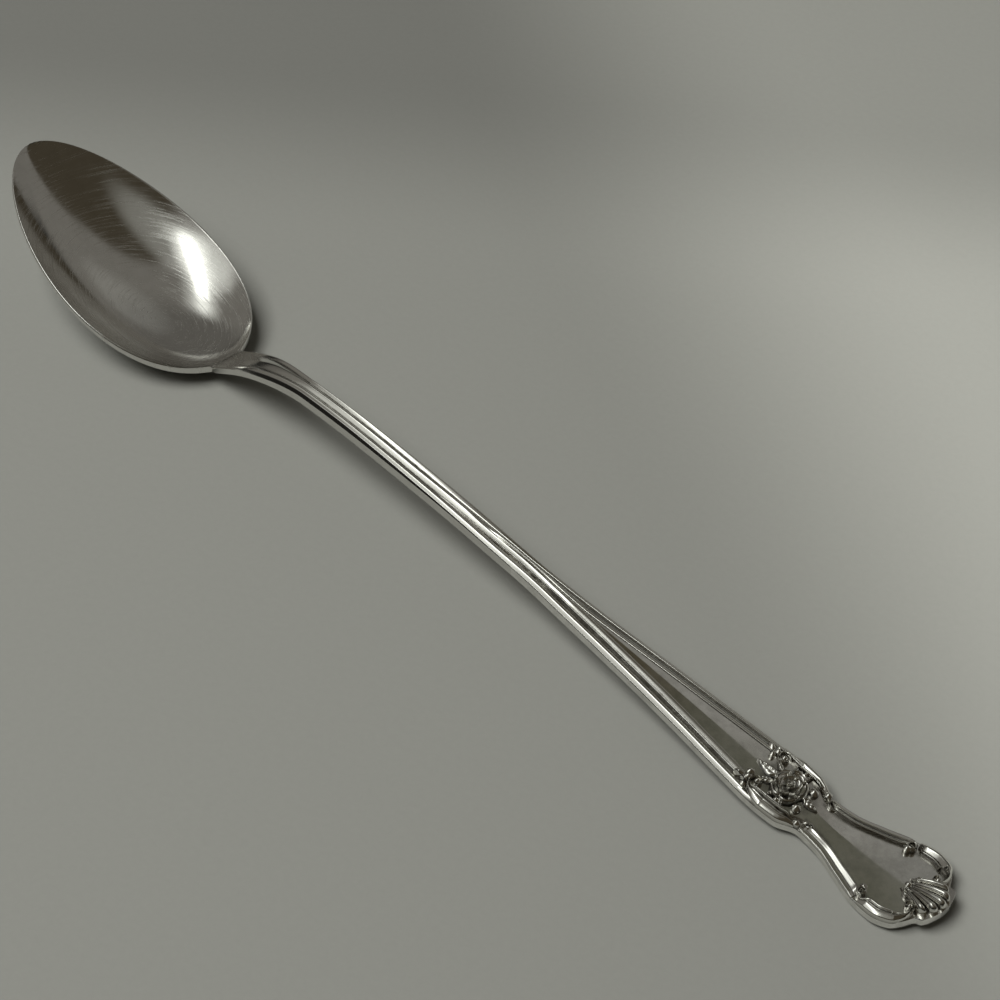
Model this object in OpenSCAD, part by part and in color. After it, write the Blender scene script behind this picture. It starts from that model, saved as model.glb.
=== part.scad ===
// Iced tea spoon with a reeded stem and a handle end of scrolls, a rose and a shell.
// +X runs from the tip of the bowl to the end of the handle and +Z is up.
// The spoon lies on Z = 0, with the origin under the middle of its length.
// A station is a distance along the spoon, measured from the tip of the bowl.

/* [Bowl] */
// Length of the bowl from its tip to the heel
bowl_length = 48.5; // [40:0.5:60]
// Width of the bowl across its rim
bowl_width = 28.4; // [22:0.2:34]
// Depth of the bowl below its rim
bowl_depth = 6.6; // [5:0.1:8]
// Thickness of the wall at the bottom of the bowl
bowl_wall = 1.1; // [0.8:0.05:1.6]
// Thickness of the wall at the rim
rim_thickness = 0.9; // [0.6:0.05:1.4]
// Height of the rim at the tip above the rim at the heel
tip_rise = 14.2; // [8:0.1:18]
// Depth worn off the belly, which leaves a small flat to rest on
belly_wear = 0.12; // [0.05:0.01:0.3]

/* [Stem] */
// Length of the neck, from the heel to the narrow part of the stem
neck_length = 19.5; // [14:0.5:26]
// Length of the reeded stem
stem_length = 45; // [30:0.5:60]
// Width of the neck at the heel
neck_width = 6; // [5:0.1:8]
// Width of the stem
stem_width = 4.1; // [3.8:0.1:6]
// Thickness of the neck at its edges, where it leaves the heel
neck_edge = 1.2; // [0.8:0.05:1.6]
// Thickness of the stem at its edges, below the reeds
stem_edge = 2.15; // [1.5:0.05:2.8]
// Extra thickness of the stem along the middle of its back
stem_crown = 0.5; // [0.2:0.05:1]
// Height of the arch of the stem above the heel
arch_rise = 7; // [4:0.1:10]

/* [Handle] */
// Length of the tapering panel between the rails
panel_length = 46; // [34:0.5:60]
// Length of the shoulders beside the rose
shoulder_length = 9; // [8:0.25:12]
// Length of the waist between the shoulders and the end
waist_length = 12; // [10:0.25:16]
// Length of the rounded end with the shell
end_length = 10; // [9:0.25:13]
// Width across the shoulders
shoulder_width = 10.8; // [10.5:0.1:13]
// Width across the waist
waist_width = 7.6; // [7.2:0.1:9.5]
// Width across the rounded end
end_width = 14.7; // [14:0.1:18]
// Width across the shell
shell_width = 7.4; // [7:0.1:8.5]
// Thickness of the handle at its edges, below the scrolls
handle_edge = 1.3; // [0.9:0.05:1.8]
// Extra thickness of the handle along the middle of its back
handle_crown = 0.05; // [0.05:0.05:0.4]
// Height by which the end turns up
end_rise = 1.5; // [0.5:0.1:2.5]
// Height of the panel and its ribs above the seat of the outer rails
panel_rise = 0.7; // [0.3:0.05:1]

/* [Relief] */
// Width of the outer rails
rail_width = 1.1; // [0.8:0.05:1.2]
// Height of the rails and of the reed in the middle
rail_height = 0.45; // [0.3:0.05:0.7]
// Width of the grooves between the reeds of the stem
groove_width = 0.3; // [0.2:0.05:0.4]
// Width of the hollow between a rail and its inner rib
cove_width = 0.5; // [0.3:0.05:0.7]
// Width of the inner ribs
rib_width = 1; // [0.5:0.05:1.2]
// Width of the moulded scrolls
scroll_width = 1.9; // [1.5:0.05:2.1]
// Height of the moulded scrolls
scroll_height = 0.75; // [0.5:0.05:1]
// Diameter of the beads at the ends of the scrolls
bead_diameter = 0.95; // [0.7:0.05:1.1]
// Height of the beads, buds and berries
bead_height = 0.8; // [0.4:0.05:1]
// Diameter of the buds at the ends of the ribs
bud_diameter = 1.2; // [0.9:0.05:1.3]
// Diameter of the rose
rose_diameter = 5; // [4:0.1:5.2]
// Height of the rose's petals
petal_height = 0.75; // [0.4:0.05:1]
// Diameter of the heart of the rose
heart_diameter = 2.6; // [1.8:0.1:3]
// Height of the heart above the petals
heart_height = 0.5; // [0.3:0.05:0.7]
// Length of the leaves round the rose
leaf_length = 3.4; // [2.4:0.1:3.6]
// Width of the leaves
leaf_width = 1.3; // [1:0.05:1.5]
// Height of the leaves
leaf_height = 0.55; // [0.3:0.05:0.8]
// Diameter of the berries beside the leaves
berry_diameter = 1; // [0.7:0.05:1.1]
// Height of the flutes of the shell
shell_height = 1; // [0.6:0.05:1.3]

/* [Hidden] */

plain_silver = "#c8c7c1";
worn_silver = "#b9b7b0";
relief_silver = "#a9a79f";

// Stations where one stretch of the spoon ends and the next begins
heel_station = bowl_length;
stem_station = heel_station + neck_length;
panel_station = stem_station + stem_length;
shoulder_station = panel_station + panel_length;
waist_station = shoulder_station + shoulder_length;
end_station = waist_station + waist_length;
tip_station = end_station + end_length;

// Bowl: how far the egg shape leans to the heel, and the sag of its rim between the ends
egg_share = 0.075;
rim_sag_share = 0.28;
// Powers that set how full the bowl is along its length and across it
bowl_length_power = 1.6;
bowl_cross_power = 2.3;
// Angle at which the first slice of the bowl stands, just behind the tip
tip_angle = 4;
bowl_slices = 40;
bowl_cross_steps = 18;
// Where the neck starts to swell out of the bowl, as shares of the bowl's length
neck_start_share = 0.5;
neck_full_share = 0.9;
neck_blend_power = 4;

// Number of steps along each stretch of the handle
neck_steps = 12;
stem_steps = 14;
panel_steps = 16;
shoulder_steps = 10;
waist_steps = 12;
end_steps = 20;

// Side view of the stem: shares of a stretch's length, and of its rise or fall
neck_rise_shares = [[0.13, 0.22], [0.28, 0.47], [0.44, 0.68], [0.6, 0.83], [0.8, 0.94], [1, 0.99]];
stem_fall_shares = [[0.13, 0], [0.6, 0.115], [1, 0.315]];
panel_fall_shares = [[0.26, 0.46], [0.59, 0.61], [0.85, 0.755], [1, 0.845]];
waist_fall_shares = [[0, 0.94], [0.83, 1]];
end_rise_shares = [[0.6, 0.3], [1, 1]];

// Where the panel stands above the rails: shares of a stretch's length, and of its rise
stem_lift_shares = [[0.5, 0], [0.8, 0.45]];
panel_lift_shares = [[0.05, 1]];
shoulder_lift_shares = [[0.85, 1], [1, 0]];
// The shelf of a rail and its cove take up at most these shares of the half width
shelf_limit_share = 0.57;
inset_limit_share = 0.67;

// Plan view of the handle: shares of a stretch's length, and of its change of width
neck_width_shares = [[0, 0], [0.45, 0.2], [1, 1]];
panel_width_shares = [[0, 0], [0.26, 0.16], [0.54, 0.43], [0.75, 0.66], [0.91, 0.86]];
shoulder_width_shares = [[0.3, 1], [0.68, 0.96]];
waist_width_shares = [[0.04, 0], [0.33, 0.1], [0.67, 0.49], [1, 0.87]];
end_width_shares = [[0.35, 0], [0.6, 0.19], [0.73, 0.6], [0.81, 1]];
shell_width_shares = [[0.88, 0.97], [0.94, 0.78], [0.975, 0.52], [1, 0.25]];

// Cross sections from the inner side to the outer side: shares of the width and of the height
round_shares = [[0, 0], [0.07, 0.5], [0.25, 0.87], [0.5, 1], [0.75, 0.87], [0.93, 0.5], [1, 0]];
scroll_shares = [
    [0, 0], [0.03, 0.35], [0.12, 0.55], [0.22, 0.35], [0.32, 0.22],
    [0.42, 0.5], [0.55, 0.9], [0.7, 1], [0.85, 0.85], [0.96, 0.45], [1, 0]
];
leaf_shares = [[0, 0], [0.12, 0.45], [0.5, 1], [0.88, 0.45], [1, 0]];
thin_roll_shares = [[0, 0], [0.1, 0.3], [0.4, 0.5], [0.75, 0.4], [0.95, 0.2]];
thick_roll_shares = [[0.05, 0.35], [0.2, 0.8], [0.5, 1], [0.8, 0.8], [0.95, 0.4], [1, 0]];

// How a moulding swells from its ends: shares of its length, and of its full width and height
fade_in_shares = [[0, 0.2], [0.08, 0.5], [0.16, 1], [1, 1]];
scroll_taper_shares = [[0, 0.35], [0.12, 0.75], [0.3, 1], [0.75, 1], [0.92, 0.7], [1, 0.4]];
leaf_taper_shares = [[0, 0.45], [0.35, 1], [0.7, 0.75], [1, 0.12]];

// Beads: numbers of sides and rings, and the places of two pairs of them
dome_sides = 12;
dome_rings = 3;
notch_bead_share = 0.75;
shell_bead_share = 0.78;
shell_bead_width_share = 0.75;
// Where the end scrolls stop in the notch beside the shell, as a share of the end's length
notch_share = 0.8;

// Rose: petals as shares of their radius and height, leaves and berries as shares of a half turn
petal_count = 5;
petal_sides = 60;
petal_notch_share = 0.14;
petal_shares = [[1, 0], [1, 0.5], [0.88, 1], [0.7, 0.8]];
heart_steps = 6;
leaf_steps = 6;
leaf_start_share = 1.03;
leaf_turn_shares = [[1, 1], [0.84, 0.55], [-0.84, 0.55], [0, 0.62]];
berry_turn_shares = [[0.21, 1.12], [0.53, 1.04]];

// Shell: flutes round a hub, with shares of the end's length and of the shell's radius and height
flute_count = 5;
flute_steps = 40;
hub_share = 0.36;
shell_half_angle = 37;
shell_valley_share = 0.5;
shell_scallop_share = 0.04;
shell_round_share = 0.05;
shell_shares = [[1, 0], [1, 0.5], [0.94, 0.85], [0.75, 1], [0.5, 0.8], [0.3, 0.5], [0.15, 0.3], [0.15, 0]];

// Small sums and curves
function mix(a, b, share) = a + (b - a) * share;
function ease(share) = let (t = min(1, max(0, share))) t * t * (3 - 2 * t);
function total(list, i = 0) = i < len(list) ? list[i] + total(list, i + 1) : 0;

// A smooth curve through points that each give a place and a value, with no overshoot
function span_slope(points, i) = (points[i + 1][1] - points[i][1]) / (points[i + 1][0] - points[i][0]);
function point_slope(points, i) =
    i == 0 ? span_slope(points, 0)
    : i == len(points) - 1 ? span_slope(points, i - 1)
    : let (a = span_slope(points, i - 1), b = span_slope(points, i))
        a * b <= 0 ? 0 : 2 * a * b / (a + b);
function span_at(points, place) =
    max([0, for (i = [0 : len(points) - 2]) if (points[i][0] <= place) i]);
function curve(points, place) =
    let (
        i = span_at(points, place),
        span = points[i + 1][0] - points[i][0],
        t = min(1, max(0, (place - points[i][0]) / span)),
        a = point_slope(points, i) * span,
        b = point_slope(points, i + 1) * span,
        rise = points[i + 1][1] - points[i][1]
    )
    points[i][1] + a * t + (3 * rise - 2 * a - b) * t * t + (a + b - 2 * rise) * t * t * t;

// Bowl: an angle of 0 is the tip and 180 is the heel
function bowl_share(angle) = (cos(tip_angle) - cos(angle)) / (cos(tip_angle) + 1);
function bowl_station(angle) = bowl_length * bowl_share(angle);
function egg(angle) = sin(angle) - egg_share * sin(2 * angle);
egg_peak = max([for (angle = [60 : 120]) egg(angle)]);
function neck_swell(angle) =
    ease((bowl_share(angle) - neck_start_share) / (neck_full_share - neck_start_share));
function bowl_half_width(angle) =
    let (egg_half = bowl_width / 2 * egg(angle) / egg_peak, neck_half = neck_width / 2 * neck_swell(angle))
    pow(pow(egg_half, neck_blend_power) + pow(neck_half, neck_blend_power), 1 / neck_blend_power);
function rim_above_heel(angle) =
    let (share = bowl_share(angle)) tip_rise * (1 - (1 + rim_sag_share) * share + rim_sag_share * share * share);
function bowl_hollow(angle) = bowl_depth * pow(max(0, sin(angle)), bowl_length_power);
slice_angles = [for (i = [0 : bowl_slices]) mix(tip_angle, 180, i / bowl_slices)];

// Heights: the belly, less its wear, and the back of the handle both touch Z = 0
belly_low = min([for (angle = slice_angles) rim_above_heel(angle) - bowl_hollow(angle) - bowl_wall]);
heel_height = -belly_low - belly_wear;
crest_height = heel_height + arch_rise;
rest_height = handle_edge + handle_crown;
end_height = rest_height + end_rise;

// Side view of the face of the handle, from the heel to the end
profile = [
    [heel_station, heel_height],
    for (p = neck_rise_shares) [heel_station + p[0] * neck_length, mix(heel_height, crest_height, p[1])],
    for (p = stem_fall_shares) [stem_station + p[0] * stem_length, mix(crest_height, rest_height, p[1])],
    for (p = panel_fall_shares) [panel_station + p[0] * panel_length, mix(crest_height, rest_height, p[1])],
    for (p = waist_fall_shares) [waist_station + p[0] * waist_length, mix(crest_height, rest_height, p[1])],
    for (p = end_rise_shares) [end_station + p[0] * end_length, mix(rest_height, end_height, p[1])]
];

// Height of the panel above the face, from the heel to the end
lift = [
    [heel_station, 0],
    for (p = stem_lift_shares) [stem_station + p[0] * stem_length, p[1] * panel_rise],
    for (p = panel_lift_shares) [panel_station + p[0] * panel_length, p[1] * panel_rise],
    for (p = shoulder_lift_shares) [shoulder_station + p[0] * shoulder_length, p[1] * panel_rise],
    [tip_station, 0]
];

// Half widths of the handle, from the heel to the end
outline = [
    for (p = neck_width_shares) [heel_station + p[0] * neck_length, mix(neck_width, stem_width, p[1]) / 2],
    for (p = panel_width_shares) [panel_station + p[0] * panel_length, mix(stem_width, shoulder_width, p[1]) / 2],
    for (p = shoulder_width_shares) [shoulder_station + p[0] * shoulder_length, p[1] * shoulder_width / 2],
    for (p = waist_width_shares) [waist_station + p[0] * waist_length, mix(waist_width, end_width, p[1]) / 2],
    for (p = end_width_shares) [end_station + p[0] * end_length, mix(end_width, shell_width, p[1]) / 2],
    for (p = shell_width_shares) [end_station + p[0] * end_length, p[1] * shell_width / 2]
];

// Stations at which the handle is sliced, and the heights and half widths there
function stretch(start, length, steps) = [for (i = [0 : steps - 1]) start + length * i / steps];
stations = concat(
    stretch(heel_station, neck_length, neck_steps),
    stretch(stem_station, stem_length, stem_steps),
    stretch(panel_station, panel_length, panel_steps),
    stretch(shoulder_station, shoulder_length, shoulder_steps),
    stretch(waist_station, waist_length, waist_steps),
    stretch(end_station, end_length, end_steps),
    [tip_station]
);
face_table = [for (s = stations) [s, curve(profile, s)]];
width_table = [for (s = stations) [s, curve(outline, s)]];
lift_table = [for (s = stations) [s, curve(lift, s)]];
function face_height(s) = lookup(s, face_table);
function half_width(s) = lookup(s, width_table);
function panel_height(s) = face_height(s) + lookup(s, lift_table);

// Distances from the edge of the handle to the inner side of the rail's shelf and to the panel
opening_span = panel_station - stem_station;
function cove(s) = mix(groove_width, cove_width, ease((s - stem_station) / opening_span));
function shelf(s) = min(rail_width, shelf_limit_share * half_width(s));
function inset(s) = min(rail_width + cove(s), inset_limit_share * half_width(s));
function stations_between(first, last) =
    concat([first], [for (s = stations) if (s > first && s < last) s], [last]);

// Thickness below the face, measured straight down, so it grows where the stem slopes
slope_step = stem_width / 8;
function lean(s) =
    let (rise = curve(profile, s + slope_step) - curve(profile, s - slope_step))
    sqrt(1 + pow(rise / (2 * slope_step), 2));
function thinning(s) = ease((s - stem_station) / (shoulder_station - stem_station));
function neck_growth(s) = ease((s - heel_station) / neck_length);
function edge_at(s) = lean(s) * mix(mix(neck_edge, stem_edge, neck_growth(s)), handle_edge, thinning(s));
function crown_at(s) = lean(s) * mix(stem_crown, handle_crown, thinning(s));

// A point in the part's frame from a station, a distance across and a height
function place(s, y, z) = [s - tip_station / 2, y, z];

// A closed solid through rings of points, each ring running over the top and back underneath.
// A zipped end is closed by strips between the top and the underside, and a plain end by one face.
module loft(rings, zipped = false) {
    count = len(rings[0]);
    last = len(rings) - 1;
    points = [for (ring = rings) for (p = ring) p];
    sides = [
        for (i = [0 : last - 1]) for (j = [0 : count - 1])
            let (k = (j + 1) % count, a = i * count + j, b = i * count + k)
            each [[a, b, b + count], [a, b + count, a + count]]
    ];
    end_cap = zipped
        ? [for (j = [0 : count / 2 - 2]) each
            [[j, j + 1, count - 2 - j], [j, count - 2 - j, count - 1 - j]]]
        : [[for (j = [0 : count - 1]) j]];
    start_caps = [for (face = end_cap) [for (j = [len(face) - 1 : -1 : 0]) face[j]]];
    end_caps = [for (face = end_cap) [for (j = face) last * count + j]];
    polyhedron(points = points, faces = concat(sides, start_caps, end_caps));
}

// Slice of the bowl: the hollow from one rim to the other, then the back
function bowl_ring(angle) =
    let (
        s = bowl_station(angle),
        half = bowl_half_width(angle),
        rim = heel_height + rim_above_heel(angle),
        hollow = bowl_hollow(angle),
        swell = neck_swell(angle),
        edge = mix(rim_thickness, edge_at(heel_station), swell),
        wall = mix(bowl_wall, edge_at(heel_station) + crown_at(heel_station), swell),
        across = [for (k = [0 : bowl_cross_steps]) sin(90 * (2 * k / bowl_cross_steps - 1))]
    )
    concat(
        [for (u = across) place(s, half * u, rim - hollow * (1 - pow(abs(u), bowl_cross_power)))],
        [for (u = across)
            let (fall = (hollow + wall - edge) * (1 - pow(abs(u), bowl_cross_power)))
            place(s, -half * u, max(0, rim - edge - fall))]
    );

// Slice of the stem or handle: a shelf at each edge, the panel between them, and a rounded back
function handle_ring(s) =
    let (
        half = half_width(s),
        face = face_height(s),
        panel = panel_height(s),
        panel_half = half - inset(s),
        right = [[panel_half / 2, panel], [panel_half, panel], [half - shelf(s), face], [half, face]],
        left = [for (i = [len(right) - 1 : -1 : 0]) [-right[i][0], right[i][1]]],
        top = concat(left, [[0, panel]], right),
        count = len(top)
    )
    concat(
        [for (p = top) place(s, p[0], p[1])],
        [for (i = [count - 1 : -1 : 0])
            let (y = top[i][0], u = y / half)
            place(s, y, face - edge_at(s) - crown_at(s) * (1 - u * u))]
    );

// Moulding on the face of the handle along a path of stations and distances across.
// The hold share says where the path lies across it.
hold_side_share = 1;
hold_middle_share = 0.5;
function path_length(path, count) =
    total([for (i = [1 : 1 : count]) norm(path[i] - path[i - 1])]);
function path_side(path, i) =
    let (ahead = path[min(i + 1, len(path) - 1)] - path[max(i - 1, 0)])
    [-ahead[1], ahead[0]] / norm(ahead);
function moulding_ring(point, side, width, height, section, hold_share) = [
    for (p = section)
        let (q = point - side * width * (hold_share - p[0]))
        place(q[0], q[1], panel_height(q[0]) + height * p[1])
];
module moulding(path, width, height, section, taper, hold_share) {
    full = path_length(path, len(path) - 1);
    loft([
        for (i = [0 : len(path) - 1])
            let (swell = curve(taper, path_length(path, i) / full))
            moulding_ring(path[i], path_side(path, i), width * swell, height * swell, section, hold_share)
    ]);
}

// Half-round moulding between two distances from the middle line, along a stretch of the handle
function flat_ring(s, inner, outer, seat, height) =
    [for (p = round_shares) place(s, mix(inner, outer, p[0]), seat + height * p[1])];

// Scroll along the edge of the handle between two stations
module edge_scroll(first, last) {
    path = [for (s = stations_between(first, last)) [s, half_width(s)]];
    moulding(path, scroll_width, scroll_height, scroll_shares, scroll_taper_shares, hold_side_share);
}

// Round bead on the face of the handle
module dome(s, y, diameter, height) {
    ring_heights = [for (i = [0 : dome_rings - 1]) 90 * i / dome_rings];
    points = concat(
        [for (a = ring_heights) for (k = [0 : dome_sides - 1])
            let (
                turn = 360 * k / dome_sides,
                sx = s + diameter / 2 * cos(a) * cos(turn),
                sy = y + diameter / 2 * cos(a) * sin(turn)
            )
            place(sx, sy, panel_height(sx) + height * sin(a))],
        [place(s, y, panel_height(s) + height), place(s, y, panel_height(s))]
    );
    apex = dome_rings * dome_sides;
    top_ring = apex - dome_sides;
    sides = [
        for (i = [0 : dome_rings - 2]) for (k = [0 : dome_sides - 1])
            let (a = i * dome_sides + k, b = i * dome_sides + (k + 1) % dome_sides)
            each [[a, b + dome_sides, b], [a, a + dome_sides, b + dome_sides]]
    ];
    crown = [for (k = [0 : dome_sides - 1]) [top_ring + k, apex, top_ring + (k + 1) % dome_sides]];
    base = [for (k = [0 : dome_sides - 1]) [k, (k + 1) % dome_sides, apex + 1]];
    polyhedron(points = points, faces = concat(sides, crown, base));
}

// The same bead on both sides of the spoon
module bead_pair(s, y, diameter, height) {
    dome(s, y, diameter, height);
    dome(s, -y, diameter, height);
}

module bowl() {
    color(plain_silver) loft([for (angle = slice_angles) bowl_ring(angle)], zipped = true);
}

module stem() {
    color(plain_silver) loft([for (s = stations_between(heel_station, panel_station)) handle_ring(s)], zipped = true);
}

module handle() {
    color(worn_silver) loft([for (s = stations_between(panel_station, tip_station)) handle_ring(s)], zipped = true);
}

// The reed and the rails rise out of the heel, and the reed parts into two ribs at the panel
rib_end = shoulder_station - bud_diameter;
rail_end = shoulder_station - rail_width / 4;
function fade(s) = curve(fade_in_shares, (s - heel_station) / (panel_station - heel_station));

module centre_reed() {
    color(relief_silver) loft([
        for (s = stations_between(heel_station, panel_station))
            let (half = half_width(s) - inset(s))
            flat_ring(s, -half, half, panel_height(s), rail_height * fade(s))
    ]);
}

module right_rail() {
    color(relief_silver) loft([
        for (s = stations_between(heel_station, rail_end))
            flat_ring(s, half_width(s) - shelf(s), half_width(s), face_height(s), rail_height * fade(s))
    ]);
}

module left_rail() {
    mirror([0, 1, 0]) right_rail();
}

// A rib follows the edge of the panel and stops at the middle line where the panel is narrow
module right_rib() {
    color(relief_silver) loft([
        for (s = stations_between(panel_station, rib_end))
            let (outer = half_width(s) - inset(s))
            flat_ring(s, max(0, outer - rib_width), outer, panel_height(s), rail_height)
    ]);
}

module left_rib() {
    mirror([0, 1, 0]) right_rib();
}

module rib_buds() {
    s = rib_end + bud_diameter / 2;
    color(relief_silver) bead_pair(s, half_width(s) - inset(s) - rib_width / 2, bud_diameter, bead_height);
}

// A shoulder scroll has a thick outer roll on the shelf and a thin one on the edge of the panel
shoulder_end = waist_station - bead_diameter / 2;
function shoulder_ring(s) =
    let (
        swell = curve(scroll_taper_shares, (s - shoulder_station) / (shoulder_end - shoulder_station)),
        half = half_width(s),
        panel_half = half - inset(s),
        shelf_half = half - shelf(s)
    )
    concat(
        [for (p = thin_roll_shares)
            place(s, panel_half - rib_width * (1 - p[0]), panel_height(s) + scroll_height * swell * p[1])],
        [for (p = thick_roll_shares)
            place(s, mix(shelf_half, half, p[0]), face_height(s) + scroll_height * swell * p[1])],
        [place(s, shelf_half, face_height(s)), place(s, panel_half, panel_height(s))]
    );

module right_shoulder_scroll() {
    color(relief_silver) loft([for (s = stations_between(shoulder_station, shoulder_end)) shoulder_ring(s)]);
}

module left_shoulder_scroll() {
    mirror([0, 1, 0]) right_shoulder_scroll();
}

module right_waist_scroll() {
    color(relief_silver) edge_scroll(waist_station + bead_diameter * notch_bead_share, end_station - bead_diameter / 2);
}

module left_waist_scroll() {
    mirror([0, 1, 0]) right_waist_scroll();
}

// The end scrolls stop in the notch beside the shell
notch_station = end_station + notch_share * end_length;

module right_end_scroll() {
    color(relief_silver) edge_scroll(end_station + bead_diameter / 4, notch_station);
}

module left_end_scroll() {
    mirror([0, 1, 0]) right_end_scroll();
}

// Beads in the curls of the scrolls: at the volutes, the waist, the flare and the shell
volute_station = shoulder_station + bead_diameter;
notch_bead_station = waist_station + bead_diameter / 8;
shell_bead_station = mix(end_station, notch_station, shell_bead_share);

module scroll_beads() {
    color(relief_silver) {
        bead_pair(volute_station, half_width(volute_station) - inset(volute_station) - rib_width
            - bead_diameter / 2, bead_diameter, bead_height);
        bead_pair(notch_bead_station, half_width(notch_bead_station) - bead_diameter * notch_bead_share,
            bead_diameter, bead_height);
        bead_pair(end_station, half_width(end_station) - scroll_width, bead_diameter, bead_height);
        bead_pair(shell_bead_station, shell_width / 2 * shell_bead_width_share, bead_diameter, bead_height);
    }
}

// Rose in the middle of the shoulders: notched petals, and a domed heart on their flat middle
rose_station = (shoulder_station + waist_station) / 2;
rose_radius = rose_diameter / 2;
rose_top = panel_height(rose_station) + petal_height;
function petal_radius(turn) = rose_radius * (1 - petal_notch_share * (1 - abs(cos(turn * petal_count / 2))));
function rose_place(radius, turn) = [rose_station + radius * cos(turn), radius * sin(turn)];

module rose_petals() {
    turns = [for (k = [0 : petal_sides - 1]) 360 * k / petal_sides];
    points = concat(
        [for (p = petal_shares) for (turn = turns)
            let (q = rose_place(petal_radius(turn) * p[0], turn))
            place(q[0], q[1], panel_height(q[0]) + petal_height * p[1])],
        [for (turn = turns)
            let (q = rose_place(heart_diameter / 2, turn))
            place(q[0], q[1], rose_top)],
        [place(rose_station, 0, rose_top), place(rose_station, 0, panel_height(rose_station))]
    );
    rows = len(petal_shares);
    apex = (rows + 1) * petal_sides;
    sides = [
        for (i = [0 : rows - 1]) for (k = [0 : petal_sides - 1])
            let (a = i * petal_sides + k, b = i * petal_sides + (k + 1) % petal_sides)
            each [[a, b + petal_sides, b], [a, a + petal_sides, b + petal_sides]]
    ];
    middle = [for (k = [0 : petal_sides - 1])
        [apex - petal_sides + k, apex, apex - petal_sides + (k + 1) % petal_sides]];
    base = [for (k = [0 : petal_sides - 1]) [k, (k + 1) % petal_sides, apex + 1]];
    color(relief_silver) polyhedron(points = points, faces = concat(sides, middle, base));
}

module rose_heart() {
    arc = [for (k = [0 : heart_steps])
        [heart_diameter / 2 * cos(90 * k / heart_steps), heart_height * sin(90 * k / heart_steps)]];
    color(relief_silver)
        translate(place(rose_station, 0, rose_top))
            rotate_extrude($fn = 48)
                polygon(concat([[0, 0]], arc));
}

// Leaf that points away from the rose
module leaf(turn, length) {
    start = rose_radius * leaf_start_share;
    path = [for (k = [0 : leaf_steps]) rose_place(start + length * k / leaf_steps, turn)];
    moulding(path, leaf_width, leaf_height, leaf_shares, leaf_taper_shares, hold_middle_share);
}

module rose_leaves() {
    color(relief_silver)
        for (p = leaf_turn_shares)
            leaf(180 * p[0], leaf_length * p[1]);
}

module rose_berries() {
    color(relief_silver)
        for (p = berry_turn_shares) {
            q = rose_place(rose_radius * p[1] + berry_diameter / 2, 180 * p[0]);
            bead_pair(q[0], q[1], berry_diameter, bead_height);
        }
}

// Shell at the end: flutes that fan out from a hub on the middle line
hub_station = end_station + hub_share * end_length;
shell_radius = tip_station - hub_station;
function flute(angle) = abs(cos(90 * flute_count * angle / shell_half_angle));
function shell_ring(angle) =
    let (
        reach = shell_radius * (1 - shell_scallop_share * (1 - flute(angle))
            - shell_round_share * pow(angle / shell_half_angle, 2)),
        height = shell_height * mix(shell_valley_share, 1, flute(angle)),
        top = [for (p = shell_shares)
            let (s = hub_station + reach * p[0] * cos(angle))
            place(s, reach * p[0] * sin(angle), face_height(s) + height * p[1])],
        under = [for (i = [len(shell_shares) - 2 : -1 : 1])
            let (s = hub_station + reach * shell_shares[i][0] * cos(angle))
            place(s, reach * shell_shares[i][0] * sin(angle), face_height(s))]
    )
    concat(top, under);

module shell_tip() {
    color(relief_silver)
        loft([for (k = [0 : flute_steps]) shell_ring(mix(-shell_half_angle, shell_half_angle, k / flute_steps))]);
}

bowl();
stem();
handle();
centre_reed();
left_rail();
right_rail();
left_rib();
right_rib();
rib_buds();
left_shoulder_scroll();
right_shoulder_scroll();
left_waist_scroll();
right_waist_scroll();
left_end_scroll();
right_end_scroll();
scroll_beads();
rose_petals();
rose_heart();
rose_leaves();
rose_berries();
shell_tip();
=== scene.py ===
"""Iced tea spoon in worn silver plate, lying on a plain grey surface.

Sizes are in millimetres until a mesh is made. A station is a distance along the spoon from the bowl's tip.
Places of the ornament are a station and a distance from the middle line.
"""

import math

import bpy
import numpy as np
from mathutils import Matrix, Vector


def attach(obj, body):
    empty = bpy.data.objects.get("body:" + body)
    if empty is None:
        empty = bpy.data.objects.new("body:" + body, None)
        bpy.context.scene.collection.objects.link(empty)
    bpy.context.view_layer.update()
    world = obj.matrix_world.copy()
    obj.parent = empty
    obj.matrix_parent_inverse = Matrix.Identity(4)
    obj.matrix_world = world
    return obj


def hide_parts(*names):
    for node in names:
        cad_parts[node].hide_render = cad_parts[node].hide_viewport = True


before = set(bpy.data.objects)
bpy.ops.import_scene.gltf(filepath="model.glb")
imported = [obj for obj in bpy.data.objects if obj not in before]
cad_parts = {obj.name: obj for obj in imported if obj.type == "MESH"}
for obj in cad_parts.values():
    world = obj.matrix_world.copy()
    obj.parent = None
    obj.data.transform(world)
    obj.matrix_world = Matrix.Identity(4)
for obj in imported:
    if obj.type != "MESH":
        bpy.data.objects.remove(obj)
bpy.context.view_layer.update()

MM = 0.001

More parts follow.
